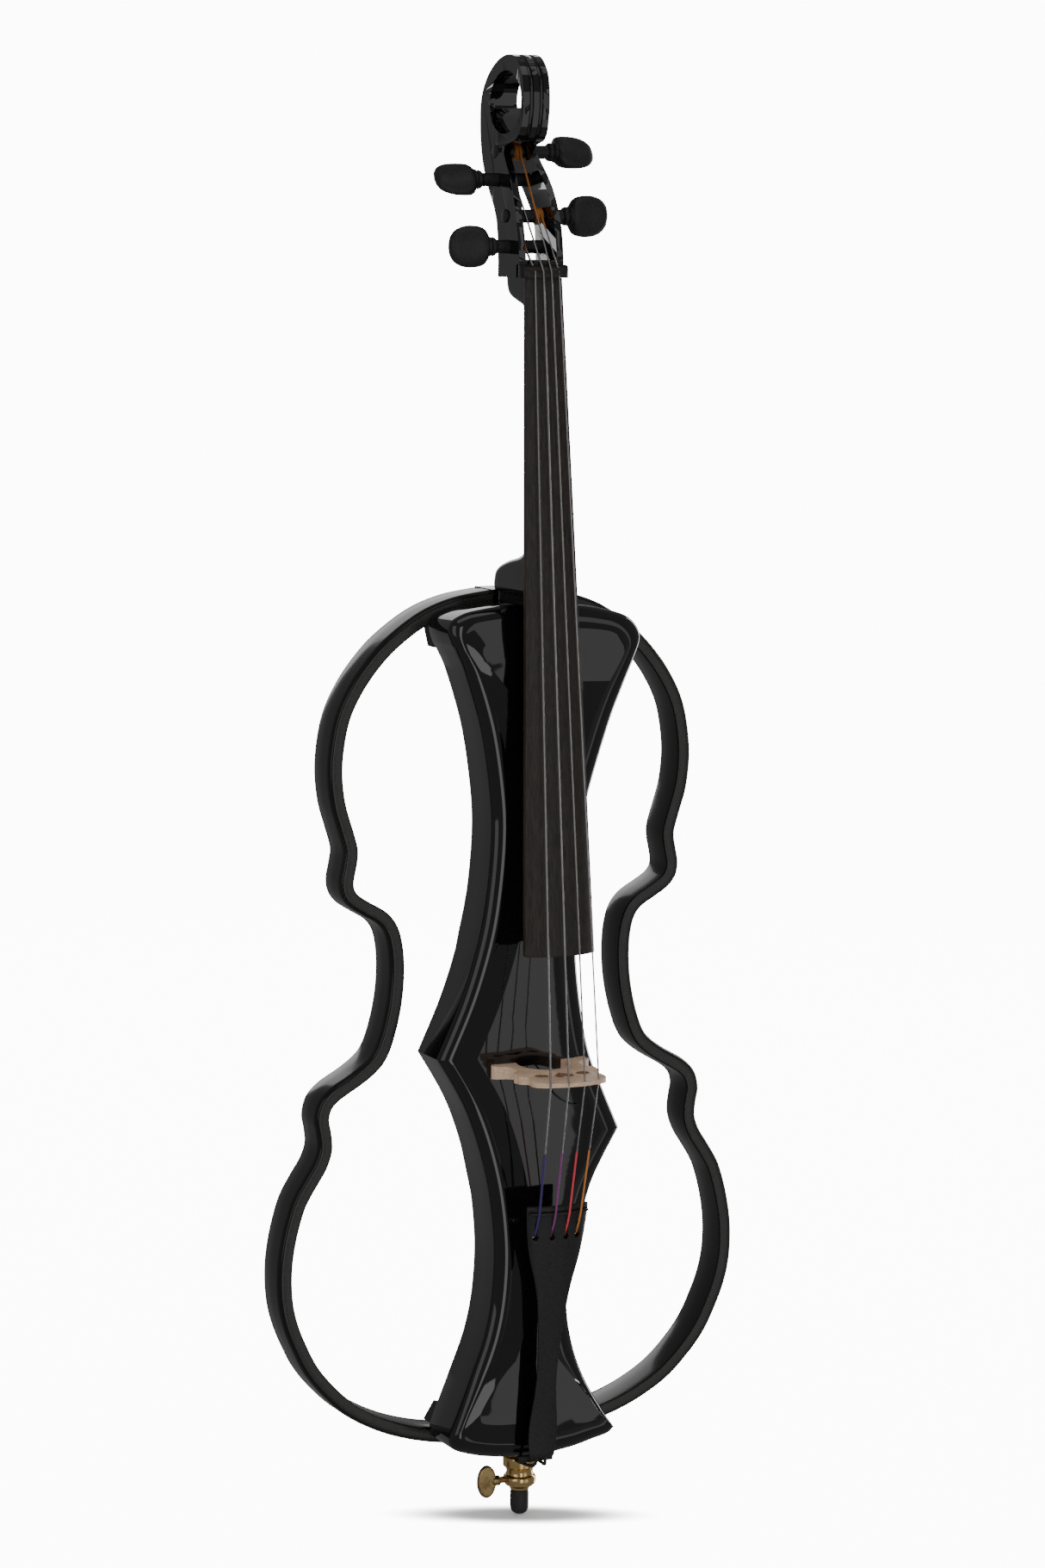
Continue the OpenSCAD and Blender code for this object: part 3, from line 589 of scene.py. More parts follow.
def bake(piece: bpy.types.Object) -> None:
    """Turn a piece's modifiers into its plain mesh."""
    bpy.context.view_layer.update()
    graph = bpy.context.evaluated_depsgraph_get()
    mesh = bpy.data.meshes.new_from_object(piece.evaluated_get(graph), depsgraph=graph)
    piece.modifiers.clear()
    piece.data = mesh


def settle(piece: bpy.types.Object, smooth: float, body: str,
           replaces: Sequence[str]) -> bpy.types.Object:
    """Smooth a baked piece and say where it belongs.

    Args:
        piece: the piece.
        smooth: edges sharper than this many degrees stay crisp.
        body: body that it rides on.
        replaces: CAD nodes that it stands for.

    Returns:
        The piece.
    """
    mesh = piece.data
    for f in mesh.polygons:
        f.use_smooth = True
    mesh.set_sharp_from_angle(angle=math.radians(smooth))
    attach(piece, body)
    if replaces:
        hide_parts(*replaces)
    log.info("%s: %d faces on %s", piece.name, len(mesh.polygons), body)
    return piece


class Maker:
    """Turns point lists in millimetres into finished pieces."""

    def __init__(self, name: str, material: bpy.types.Material, body: str = "body",
                 slot: str = "lacquer") -> None:
        """Note what the piece is called, wears and rides on."""
        self.name, self.material, self.body, self.slot = name, material, body, slot
        self.bm = bmesh.new()

    def rings(self, rings: Sequence[Sequence[Point]]) -> "Maker":
        """Add a capped skin over rings of equal point counts, and return the maker itself."""
        made = [[self.bm.verts.new([c * MM for c in p]) for p in ring] for ring in rings]
        n = len(made[0])
        for a, b in zip(made, made[1:]):
            for i in range(n):
                j = (i + 1) % n
                self.bm.faces.new((a[i], a[j], b[j], b[i]))
        self.bm.faces.new(made[0])
        self.bm.faces.new(made[-1])
        return self

    def lathe(self, profile: Sequence[Flat], centre: Point, axis: str = "Z", sides: int = 48,
              squash: Optional[Callable[[float], Flat]] = None) -> "Maker":
        """Turn a profile round an axis.

        Args:
            profile: distance from the axis and place along it, in order; 0 closes an end.
            centre: the axis's start.
            axis: "X", "-X", "Y" or "Z".
            sides: points round the axis.
            squash: from the place along the axis to the two cross radii's factors.

        Returns:
            The maker itself.
        """
        rings = []
        for r, along in profile:
            fu, fv = squash(along) if squash else (1.0, 1.0)
            ring = []
            for a in angles(sides):
                u, v = max(r, 0.02) * math.cos(a) * fu, max(r, 0.02) * math.sin(a) * fv
                if axis == "Z":
                    ring.append((centre[0] + u, centre[1] + v, centre[2] + along))
                elif axis == "Y":
                    ring.append((centre[0] + u, centre[1] + along, centre[2] + v))
                else:
                    s = -1 if axis == "-X" else 1
                    ring.append((centre[0] + s * along, centre[1] + u, centre[2] + v))
            rings.append(ring)
        return self.rings(rings)

    def prism(self, outline: Sequence[Flat], low: float, high: float, along: str = "Y") -> "Maker":
        """Thicken a flat outline.

        Args:
            outline: points in X and Z for "Y", or in Y and Z for "X".
            low: first face's place.
            high: second face's place.
            along: the thickness's axis.

        Returns:
            The maker itself.
        """
        def spot(p: Flat, w: float) -> Point:
            """Place of an outline point at a depth."""
            return (p[0], w, p[1]) if along == "Y" else (w, p[0], p[1])
        return self.rings([[spot(p, low) for p in outline], [spot(p, high) for p in outline]])

    def box(self, low: Point, high: Point) -> "Maker":
        """Add a block between two corners."""
        x0, y0, z0 = low
        x1, y1, z1 = high
        return self.rings([[(x0, y0, z), (x1, y0, z), (x1, y1, z), (x0, y1, z)] for z in (z0, z1)])

    def done(self, bevel: float = 0.0, segments: int = 3, smooth: float = 40.0, levels: int = 0,
             cut: Iterable[bpy.types.Object] = (), replaces: Sequence[str] = (),
             edge_material: Optional[Callable[[Vector, Vector], bool]] = None,
             second: Optional[bpy.types.Material] = None) -> bpy.types.Object:
        """Finish the piece.

        Args:
            bevel: edge bevel in millimetres.
            segments: steps of the bevel.
            smooth: edges sharper than this many degrees stay crisp.
            levels: subdivision levels.
            cut: cutters taken out of the piece, and then deleted.
            replaces: CAD nodes that the piece stands for.
            edge_material: says from a face's centre and normal if it wears the second material.
            second: the second material.

        Returns:
            The finished object.
        """
        bmesh.ops.remove_doubles(self.bm, verts=self.bm.verts, dist=1e-7)
        bmesh.ops.recalc_face_normals(self.bm, faces=self.bm.faces)
        mesh = bpy.data.meshes.new(self.name)
        self.bm.to_mesh(mesh)
        self.bm.free()
        piece = put(self.name, mesh)
        mesh.materials.append(self.material)
        if second:
            mesh.materials.append(second)
        for tool in cut:
            made = piece.modifiers.new("cut", "BOOLEAN")
            made.operation, made.object, made.solver = "DIFFERENCE", tool, "EXACT"
        if levels:
            made = piece.modifiers.new("round", "SUBSURF")
            made.levels = made.render_levels = levels
        if bevel:
            made = piece.modifiers.new("edge", "BEVEL")
            made.width, made.segments, made.limit_method = bevel * MM, segments, "ANGLE"
            made.angle_limit = math.radians(BEVEL_ANGLE)
        if bevel and (cut or segments > 2):
            made = piece.modifiers.new("even", "WEIGHTED_NORMAL")
            made.keep_sharp, made.weight = True, 60
        if piece.modifiers:
            bake(piece)
        for tool in cut:
            bpy.data.objects.remove(tool)
        if second and edge_material:
            for f in piece.data.polygons:
                f.material_index = 1 if edge_material(f.center / MM, f.normal) else 0
        return settle(piece, smooth, self.body, replaces)


def cutter(build: Callable[[Maker], Maker]) -> bpy.types.Object:
    """A closed shape to cut away with.

    Args:
        build: adds the tool's shape to a maker.

    Returns:
        The tool.
    """
    maker = build(Maker("cutter", bpy.data.materials[0]))
    bmesh.ops.recalc_face_normals(maker.bm, faces=maker.bm.faces)
    mesh = bpy.data.meshes.new("cutter")
    maker.bm.to_mesh(mesh)
    maker.bm.free()
    return put("cutter", mesh)


def drill(radius: float, low: float, high: float, centre: Point, axis: str,
          sides: int) -> bpy.types.Object:
    """Cutter for a round hole between two places along an axis.

    Args:
        radius: of the hole.
        low: where it starts along the axis.
        high: where it ends.
        centre: the axis's start.
        axis: "X", "Y" or "Z".
        sides: points round it.
    """
    return cutter(lambda m: m.lathe([(0, low), (radius, low), (radius, high), (0, high)],
                                    centre, axis, sides))


def tube_rings(route: Sequence[Point], r: float, sides: int) -> list[list[Point]]:
    """Rings of a round tube along a route."""
    out = []
    for i, p in enumerate(route):
        a, b = Vector(route[max(i - 1, 0)]), Vector(route[min(i + 1, len(route) - 1)])
        w = (b - a).normalized()
        u = w.cross(Vector((1, 0, 0) if abs(w.x) < 0.9 else (0, 1, 0))).normalized()
        v = w.cross(u)
        out.append([tuple(Vector(p) + r * (math.cos(t) * u + math.sin(t) * v))
                    for t in angles(sides)])
    return out


def gouge(route: Sequence[Point], r: float, sides: int) -> bpy.types.Object:
    """Cutter for a round groove along a route."""
    return cutter(lambda m: m.rings(tube_rings(route, r, sides)))


# ---------------------------------------------------------------- geometry nodes

class NodeTree:
    """A Geometry Nodes tree under construction."""

    def __init__(self, name: str, inputs: Sequence[tuple[str, str, Any]]) -> None:
        """Start a tree with named inputs.

        Args:
            name: the tree's name.
            inputs: name, socket type and default of each input.
        """
        self.tree = bpy.data.node_groups.new(name, "GeometryNodeTree")
        face = self.tree.interface
        face.new_socket("Geometry", in_out="INPUT", socket_type="NodeSocketGeometry")
        face.new_socket("Geometry", in_out="OUTPUT", socket_type="NodeSocketGeometry")
        for title, kind, value in inputs:
            made = face.new_socket(title, in_out="INPUT", socket_type=kind)
            if value is not None:
                made.default_value = value
        self.source = self.tree.nodes.new("NodeGroupInput")

    def add(self, kind: str, settings: Optional[dict[str, Any]] = None,
            inputs: Optional[dict[Any, Any]] = None) -> bpy.types.Node:
        """Add a node; an input that is a socket is linked, any other is set."""
        node = self.tree.nodes.new(kind)
        for key, value in (settings or {}).items():
            setattr(node, key, value)
        for key, value in (inputs or {}).items():
            if isinstance(value, bpy.types.NodeSocket):
                self.tree.links.new(value, node.inputs[key])
            else:
                node.inputs[key].default_value = value
        return node

    def end(self, geometry: bpy.types.NodeSocket) -> bpy.types.GeometryNodeTree:
        """Close the tree with Realize Instances and Set Material."""
        real = self.add("GeometryNodeRealizeInstances", None, {0: geometry})
        dressed = self.add("GeometryNodeSetMaterial", None, {
            "Geometry": real.outputs[0], "Material": self.source.outputs["Material"]})
        out = self.tree.nodes.new("NodeGroupOutput")
        self.tree.links.new(dressed.outputs[0], out.inputs[0])
        return self.tree


def sweep_tree() -> bpy.types.GeometryNodeTree:
    """Round tube along a line of mesh edges."""
    t = NodeTree("sweep_along_line", [("Radius", "NodeSocketFloat", 0.001),
                                      ("Sides", "NodeSocketInt", 12),
                                      ("Material", "NodeSocketMaterial", None)])
    line = t.add("GeometryNodeMeshToCurve", None, {0: t.source.outputs["Geometry"]})
    ring = t.add("GeometryNodeCurvePrimitiveCircle", None, {
        "Resolution": t.source.outputs["Sides"], "Radius": t.source.outputs["Radius"]})
    tube = t.add("GeometryNodeCurveToMesh", None, {
        "Curve": line.outputs[0], "Profile Curve": ring.outputs[0], "Fill Caps": True})
    return t.end(tube.outputs[0])


def ridge_tree() -> bpy.types.GeometryNodeTree:
    """Small ribs standing round a knob's rim, its axis along Y."""
    t = NodeTree("ribs_round_a_rim", [("Count", "NodeSocketInt", 40),
                                      ("Rim", "NodeSocketFloat", 0.009),
                                      ("Length", "NodeSocketFloat", 0.008),
                                      ("Width", "NodeSocketFloat", 0.0008),
                                      ("Material", "NodeSocketMaterial", None)])
    ring = t.add("GeometryNodeCurvePrimitiveCircle", None, {
        "Resolution": t.source.outputs["Count"], "Radius": t.source.outputs["Rim"]})
    points = t.add("GeometryNodeCurveToPoints", {"mode": "EVALUATED"}, {0: ring.outputs[0]})
    size = t.add("ShaderNodeCombineXYZ", None, {
        0: t.source.outputs["Width"], 1: t.source.outputs["Width"], 2: t.source.outputs["Length"]})
    rib = t.add("GeometryNodeMeshCube", None, {"Size": size.outputs[0]})
    ribs = t.add("GeometryNodeInstanceOnPoints", None, {
        "Points": points.outputs[0], "Instance": rib.outputs[0],
        "Rotation": points.outputs["Rotation"]})
    upright = t.add("GeometryNodeInstanceOnPoints", None, {
        "Points": t.source.outputs["Geometry"], "Instance": ribs.outputs[0],
        "Rotation": (math.radians(-90), 0.0, 0.0)})
    return t.end(upright.outputs[0])


def screw_tree() -> bpy.types.GeometryNodeTree:
    """Domed screw heads with a cross recess on points, facing +Y."""
    t = NodeTree("screw_heads", [("Radius", "NodeSocketFloat", 0.002),
                                 ("Height", "NodeSocketFloat", 0.0006),
                                 ("Material", "NodeSocketMaterial", None)])
    head = t.add("GeometryNodeMeshCone", None, {
        "Vertices": 24, "Side Segments": 1, "Fill Segments": 1,
        "Radius Bottom": t.source.outputs["Radius"], "Depth": t.source.outputs["Height"]})
    top, arm, thin = (t.add("ShaderNodeMath", {"operation": "MULTIPLY"}, {
        0: t.source.outputs["Radius"], 1: share}) for share in (0.72, 0.9, 0.22))
    t.tree.links.new(top.outputs[0], head.inputs["Radius Top"])
    parts = t.add("GeometryNodeJoinGeometry")
    t.tree.links.new(head.outputs[0], parts.inputs[0])
    for a, b in ((arm, thin), (thin, arm)):
        size = t.add("ShaderNodeCombineXYZ", None, {
            0: a.outputs[0], 1: b.outputs[0], 2: t.source.outputs["Height"]})
        bar = t.add("GeometryNodeMeshCube", None, {"Size": size.outputs[0]})
        raised = t.add("GeometryNodeTransform", None, {
            0: bar.outputs[0], "Translation": (0.0, 0.0, 0.00035)})
        t.tree.links.new(raised.outputs[0], parts.inputs[0])
    heads = t.add("GeometryNodeInstanceOnPoints", None, {
        "Points": t.source.outputs["Geometry"], "Instance": parts.outputs[0],
        "Rotation": (math.radians(-90), 0.0, 0.0)})
    return t.end(heads.outputs[0])


class Grower:
    """Runs the node trees on lines and points in millimetres."""

    def __init__(self) -> None:
        """Build the trees once."""
        self.sweep_group = sweep_tree()
        self.ridge_group = ridge_tree()
        self.screw_group = screw_tree()

    def run(self, name: str, group: bpy.types.GeometryNodeTree, points: Sequence[Point],
            edges: Sequence[tuple[int, int]], values: dict[str, Any], body: str,
            slot: str, replaces: Sequence[str] = (), smooth: float = 50.0) -> bpy.types.Object:
        """Make one piece with a tree.

        Args:
            name: the piece's name.
            group: the node tree.
            points: places in millimetres.
            edges: pairs of points that are joined.
            values: the tree's inputs by name.
            body: body that the piece rides on.
            slot: not used.
            replaces: CAD nodes that it stands for.
            smooth: edges sharper than this many degrees stay crisp.

        Returns:
            The finished object.
        """
        mesh = bpy.data.meshes.new(name)
        mesh.from_pydata([[c * MM for c in p] for p in points], edges, [])
        piece = put(name, mesh)
        made = piece.modifiers.new("grow", "NODES")
        made.node_group = group
        for item in group.interface.items_tree:
            if item.in_out == "INPUT" and item.name in values:
                made[item.identifier] = values[item.name]
        bake(piece)
        if not piece.data.materials:
            piece.data.materials.append(values["Material"])
        return settle(piece, smooth, body, replaces)

    def tube(self, name: str, route: Sequence[Point], radius: float, material: bpy.types.Material,
             body: str = "body", slot: str = "steel_string", sides: int = 12,
             replaces: Sequence[str] = ()) -> bpy.types.Object:
        """Round tube of a radius in millimetres along a route."""
        edges = [(i, i + 1) for i in range(len(route) - 1)]
        return self.run(name, self.sweep_group, route, edges,
                        {"Radius": radius * MM, "Sides": sides, "Material": material},
                        body, slot, replaces)


# ---------------------------------------------------------------- body

@dataclass
class Core:
    """Solid hourglass core with a rolled edge and a gently crowned front."""

    back: float = 21.0
    wall: float = -21.0
    roll_in: float = 15.5
    roll_out: float = 10.0
    rise: float = 12.9
    low_end: float = 150.0
    high_end: float = 740.0
    right_low: tuple[Flat, ...] = ((82, 76), (71, 92), (52, 125), (40, 158), (34.5, 195),
                                   (38, 240), (52, 286), (62, 312), (84, 350))
    right_high: tuple[Flat, ...] = ((84, 350), (67, 389), (53, 425), (43, 484), (39.5, 545),
                                    (43, 605), (51, 648), (71, 711), (84, 743), (95, 768))
    left_low: tuple[Flat, ...] = ((-79.5, 84), (-75, 97), (-60, 134), (-46, 171), (-38.5, 210),
                                  (-37, 258), (-45, 316), (-64, 375), (-92, 424))
    left_high: tuple[Flat, ...] = ((-92, 424), (-69, 475), (-52, 529), (-44, 578), (-41, 625),
                                   (-44, 665), (-52, 712), (-66, 758), (-74, 776), (-79, 785))
    top: tuple[Flat, ...] = ((95, 768), (101, 785), (97, 797), (86, 806), (66, 812), (40, 816.5),
                             (0, 819), (-30, 818), (-55, 815), (-68, 812), (-79, 806),
                             (-82.5, 797), (-79, 785))
    bottom: tuple[Flat, ...] = ((-79.5, 84), (-77, 75), (-66, 69), (-40, 62.5), (0, 58.5),
                                (38, 62), (62, 67.5), (76, 71), (82, 76))

    def outline(self) -> list[Flat]:
        """Fine outline, anticlockwise from the lower right corner."""
        runs = [spline(self.right_low, 7), spline(self.right_high, 7), spline(self.top, 4),
                spline(rev(self.left_high), 7), spline(rev(self.left_low), 7),
                spline(self.bottom, 4)]
        return [(p[0], p[1]) for run in runs for p in run[:-1]]

    def shrink(self, line: Sequence[Flat], d: float, share: float = 0.0) -> list[Flat]:
        """Move each point towards the spine by d, or to the flat front's edge with share 1."""
        out = []
        for x, z in line:
            mid = clamp(z, self.low_end, self.high_end)
            far = math.hypot(x, z - mid)
            near, wide = (34.0, 22.0) if x > 0 else (22.0, 34.0)
            want = lerp(near, wide, clamp(0.5 + abs(x) / 60, 0, 1))
            move = lerp(d, clamp(want, 0.0, far * 0.85), share)
            out.append((x * (1 - move / far), z + (mid - z) * move / far))
        return out

    def build(self, wear: Finishes) -> bpy.types.Object:
        """Build the core: walls, rolled edge, sloping band and flat front."""
        line = self.outline()
        rings = [[(x, self.back, z) for x, z in self.shrink(line, 1.2)],
                 [(x, self.back - 0.5, z) for x, z in self.shrink(line, 0.35)],
                 [(x, self.back - 1.4, z) for x, z in line],
                 [(x, 0.0, z) for x, z in line]]
        for a in [90 * k / 14 for k in range(15)]:
            d = self.roll_in * (1 - math.cos(math.radians(a)))
            y = self.wall - self.roll_out * math.sin(math.radians(a))
            rings.append([(x, y, z) for x, z in self.shrink(line, d)])
        for share in (0.03, 0.5, 0.97, 1.0):
            y = self.wall - self.roll_out - (self.rise - self.roll_out) * min(share / 0.985, 1)
            rings.append([(x, y, z) for x, z in self.shrink(line, self.roll_in, share)])
        m = Maker("core_front", wear.lacquer)
        m.rings(rings)
        return m.done(smooth=16, replaces=("body_core",))


@dataclass
class Rib:
    """Open bout frame on one side, a rounded bar that follows the outline."""

    front: float = 21.0
    back: float = 58.0
    width: float = 13.0
    line: tuple[Flat, ...] = (
        (22, 827.5), (57, 822), (89, 810), (121, 788), (143, 765), (158, 743), (168, 721),
        (173.5, 695), (175, 670), (172, 644), (165.5, 622), (160.5, 604), (162, 591),
        (164.5, 577), (162.5, 565), (155, 555), (141, 546), (128, 538), (120.5, 527),
        (117, 508), (117, 485), (120, 462), (126, 439), (134, 422), (150, 409), (172, 396),
        (183.5, 384), (187.5, 369), (185.5, 356), (184.5, 343), (189, 330), (198, 316),
        (208.5, 298), (216, 275), (221, 250), (222.5, 228), (221, 205), (216, 184),
        (207.5, 163), (196, 141), (179, 120), (157, 100), (127, 83), (95, 71.5), (60, 64.5),
        (22, 62))

    def section(self) -> list[Flat]:
        """Cross-section: share of the width inwards, and depth."""
        w, f, b = self.width, self.front, self.back
        middle = (f + b) / 2
        out = [(0.0, b - 2.0), (0.6 / w, b - 0.6), (2.0 / w, b), (1 - 2.0 / w, b),
               (1 - 0.6 / w, b - 0.6), (1.0, b - 2.0), (1.0, middle), (1.0, f + 1.8),
               (1 - 0.25 / w, f + 0.9), (1 - 0.9 / w, f + 0.25), (1 - 1.8 / w, f), (0.42, f),
               (0.33, f + 0.15)]
        for a in (math.radians(d) for d in (12, 28, 44, 60, 75, 90)):
            out.append((0.31 * (1 - math.sin(a)), f + 0.15 + 6.2 * (1 - math.cos(a))))
        return out + [(0.0, middle)]

    def build(self, wear: Finishes, side: int) -> bpy.types.Object:
        """Build the frame of one side; side is 1 or -1."""
        outer = spline(self.line, 6)
        coarse = beside(spline(self.line, 2), -self.width)
        for end in (0, -1):
            coarse[end] = (self.line[end][0], coarse[end][1])
        inner = spline(coarse, 3)
        rings = []
        for a, b in zip(outer, inner):
            rings.append([(side * lerp(a[0], b[0], u), y, lerp(a[1], b[1], u))
                          for u, y in self.section()])
        name = "frame_right" if side > 0 else "frame_left"
        m = Maker(f"bout_{name}", wear.rib, slot="frame_lacquer")
        m.rings(rings)
        # The rib's flat front faces wear the lighter material, a painted reflection.
        return m.done(smooth=38, replaces=(name,), second=wear.rib_front_reflection,
                      edge_material=lambda c, n: n.y < -0.93 and c.y < self.front + 0.3)


# ---------------------------------------------------------------- neck and head

# Half width of the head at rising heights
HEAD_HALF = ((1099, 21), (1146, 21), (1174, 19.5), (1200, 16.5), (1218, 13.5), (1232, 12.5),
             (1290, 12.5))
NUT_Z = 1099.0
BOARD_END = 519.0


def board_top(z: float) -> float:
    """Depth of the fingerboard's crown at a height."""
    return lerp(-38, -87, (NUT_Z - z) / (NUT_Z - BOARD_END))


def board_half(z: float) -> float:
    """Half width of the fingerboard at a height."""
    return lerp(17, 33, (NUT_Z - z) / (NUT_Z - BOARD_END))


def board_sag(x: float) -> float:
    """Fall of the playing surface away from its centre."""
    return 60 - math.sqrt(max(3600 - x * x, 1))


def board_under(z: float) -> float:
    """Depth of the fingerboard's flat underside."""
    ends = [board_top(e) + board_sag(board_half(e)) + 5.5 for e in (NUT_Z, BOARD_END)]
    return lerp(ends[0], ends[1], (NUT_Z - z) / (NUT_Z - BOARD_END))


@dataclass
class Neck:
    """Neck, fingerboard and nut."""

    rows: tuple[tuple[float, ...], ...] = (
        (819, 20, 21, 0.14), (828.4, 20, 21, 0.14), (828.8, 23.1, 20.9, 0.12),
        (842, 23.1, 20.9, 0.14), (848, 22.6, 17, 0.2), (852, 21.8, 10, 0.28),
        (855.5, 20.8, 0, 0.38), (857.5, 20, -8, 0.5), (859.5, 19, -14.5, 0.6),
        (862.5, 17.8, -20, 0.7), (868, 16.5, -22.5, 0.8), (880, 15.5, -23, 0.8),
        (1060, 14, -14.5, 0.8), (1074, 14, -13.8, 0.78), (1077, 14.3, -9.5, 0.6),
        (1079, 14.7, -4, 0.4), (1082, 15.2, 3, 0.25), (1086, 15.5, 9, 0.18),
        (1092, 15.5, 12, 0.15), (1099, 15.5, 13, 0.14))

    def build(self, wear: Finishes) -> None:
        """Build the three pieces."""
        heights = sorted({819 + k for k in range(0, 52, 2)} | {1056 + k for k in range(0, 44, 2)}
                         | {828.4, 828.8, 854, 856, 858, 875, 900, 940, 980, 1020, 1099})
        rings = []
        for z in heights:
            h, b, f = look(self.rows, z), look(self.rows, z, 2), board_under(z)
            box = look(self.rows, z, 3)
            rings.append([
                (h * math.copysign(abs(math.cos(math.radians(a))) ** (0.2 + box), 90 - a),
                 f + (b - f) * max(math.sin(math.radians(a)), 0) ** box, z)
                for a in range(0, 181, 5)])
        Maker("neck_shaft", wear.lacquer).rings(rings).done(smooth=50, replaces=("neck",))
        rings = []
        for z in (BOARD_END, BOARD_END + 0.5, BOARD_END + 1.5, 700, 900, NUT_Z - 0.2):
            trim = 0.8 if z == BOARD_END else 0.25 if z == BOARD_END + 0.5 else 0.0
            h, top, under = board_half(z) - trim, board_top(z) + trim, board_under(z) - trim
            side = top + board_sag(h)
            ring = [(-h + 0.08, side + 0.15, z)]
            ring += [(h * k / 12, top + board_sag(h * k / 12), z) for k in range(-11, 12)]
            ring += [(h - 0.08, side + 0.15, z), (h, side + 0.7, z), (h, under - 0.8, z),
                     (h - 0.25, under - 0.2, z), (h - 0.9, under, z), (-h + 0.9, under, z),
                     (-h + 0.25, under - 0.2, z), (-h, under - 0.8, z), (-h, side + 0.7, z)]
            rings.append(ring)
        Maker("playing_board", wear.board, slot="dark_board").rings(rings).done(
            smooth=38, replaces=("fingerboard",))
        self.nut(wear)

    def nut(self, wear: Finishes) -> None:
        """Nut with a rounded front, rounded ends and four string grooves."""
        profile = [(-30, 1099), (-42.6, 1099), (-42.6, 1103), (-41.8, 1105.3), (-40, 1107.6),
                   (-37, 1109.4), (-33.5, 1110), (-30, 1110)]
        rings = []
        for x in [-22, -21.6, -20.5, -18.5, -16, -12, 0, 12, 16, 18.5, 20.5, 21.6, 22]:
            e = max(abs(x) - 15, 0) / 7
            pull = 7 * (1 - math.sqrt(max(1 - e * e, 0)))
            drop = 0.25 if abs(x) > 21 else 0
            rings.append([(x, max(y, -42.6 + pull) if y < -31 else y, z - drop)
                          for y, z in profile])
        grooves = [gouge(strings().route(i)[3:6], STRING_R[i] + 0.05, 10) for i in range(4)]
        Maker("string_nut", wear.dark_nut, slot="dark_board").rings(rings).done(
            bevel=0.35, segments=2, cut=grooves, replaces=("nut",))


@dataclass
class Head:
    """Pegbox with an open scroll."""

    cheek: float = 6.5
    peg_hole: float = 5.86
    flute: float = 2.0
    back: tuple[Flat, ...] = ((14, 1099), (14, 1118), (17, 1144), (26, 1160), (38, 1174),
                              (50, 1188), (61, 1204), (69, 1219), (72, 1235), (70, 1252),
                              (60, 1268), (43, 1280.5), (26, 1287), (10, 1288.5), (-2, 1285),
                              (-10, 1278), (-15.5, 1269), (-18, 1256), (-18, 1242), (-15, 1229),
                              (-10, 1220), (-4, 1215.5), (5, 1213.5), (15, 1211))
    front: tuple[Flat, ...] = ((15, 1205), (8, 1197), (-4, 1184), (-14, 1169), (-21, 1154),
                               (-26, 1138), (-29, 1122), (-30, 1110))
    eye: Flat = (18, 1248)
    eye_size: Flat = (32, 27)
    ledge: float = 1243.0

    def eye_line(self, grow: float, low: Optional[float] = None) -> list[Flat]:
        """Outline of the scroll's eye, cut off level at low if given."""
        pts = [(self.eye[0] + (self.eye_size[0] + grow) * math.cos(math.radians(a)),
                self.eye[1] + (self.eye_size[1] + grow) * math.sin(math.radians(a)))
               for a in range(0, 360, 3)]
        if low is None:
            return pts
        kept = [p for p in pts if p[1] > low]
        kept.sort(key=lambda p: math.atan2(p[1] - low + 0.01, p[0] - self.eye[0]))
        rise = (low - self.eye[1]) / (self.eye_size[1] + grow)
        run = (self.eye_size[0] + grow) * math.sqrt(max(1 - rise * rise, 0))
        return [(self.eye[0] + run, low)] + kept + [(self.eye[0] - run, low)]

    def build(self, wear: Finishes) -> None:
        """Build the head: body, cuts, ridges."""
        outline = ([(-24, 1099)] + spline(self.back, 3) + spline(self.front, 3)
                   + [(-24, 1110)])
        m = Maker("pegbox_and_scroll", wear.lacquer)
        m.rings([[(x * look(HEAD_HALF, p[1], smooth=False), p[0], p[1]) for p in outline]
                 for x in (-1.0, 1.0)])
        slot = [(look(HEAD_HALF, z, smooth=False) - self.cheek, z)
                for z in (1114, 1146, 1174, 1200, 1214.5)]
        slot += [(-h, z) for h, z in rev(slot)]
        tools = [cutter(lambda t: t.prism(slot, -60, 90)),
                 cutter(lambda t: t.prism(self.eye_line(0, self.ledge), -30, 30, "X"))]
        for low, high in ((-22, -8), (8, 22)):
            tools.append(cutter(lambda t, a=low, b=high: t.prism(self.eye_line(0), a, b, "X")))
        tools += [drill(self.peg_hole, -30, 30, (0, y, z), "X", 32) for _, y, z, _ in PEGS]
        tools += self.grooves()
        m.done(bevel=1.1, segments=3, smooth=34, cut=tools, replaces=("scroll_head",))

    def grooves(self) -> list[bpy.types.Object]:
        """Cutters for the two flutes that run over the scroll's outer face."""
        path = [p for p in spline(self.back, 3) if p[1] > 1216 and not (p[0] > 66 and p[1] < 1222)]
        return [gouge([(x, p[0], p[1]) for p in path], self.flute, 12) for x in (-4.6, 4.6)]


# ---------------------------------------------------------------- pegs and strings

# Side of its head, depth, height and turn of each peg: C, G, D, A
PEGS = ((-1, -6.0, 1125.0, 0.0), (-1, 24.0, 1182.0, 45.0), (1, 32.0, 1206.0, -43.0),
        (1, 0.0, 1151.0, 5.0))
KEYS = ("c", "g", "d", "a")
STRING_R = (0.95, 0.85, 0.75, 0.70)
TURN_R = (8.2, 7.8, 7.6, 7.4)
TURN_X = (-10.5, -6.0, 3.5, 9.5)
TURN_LEN = 7.0


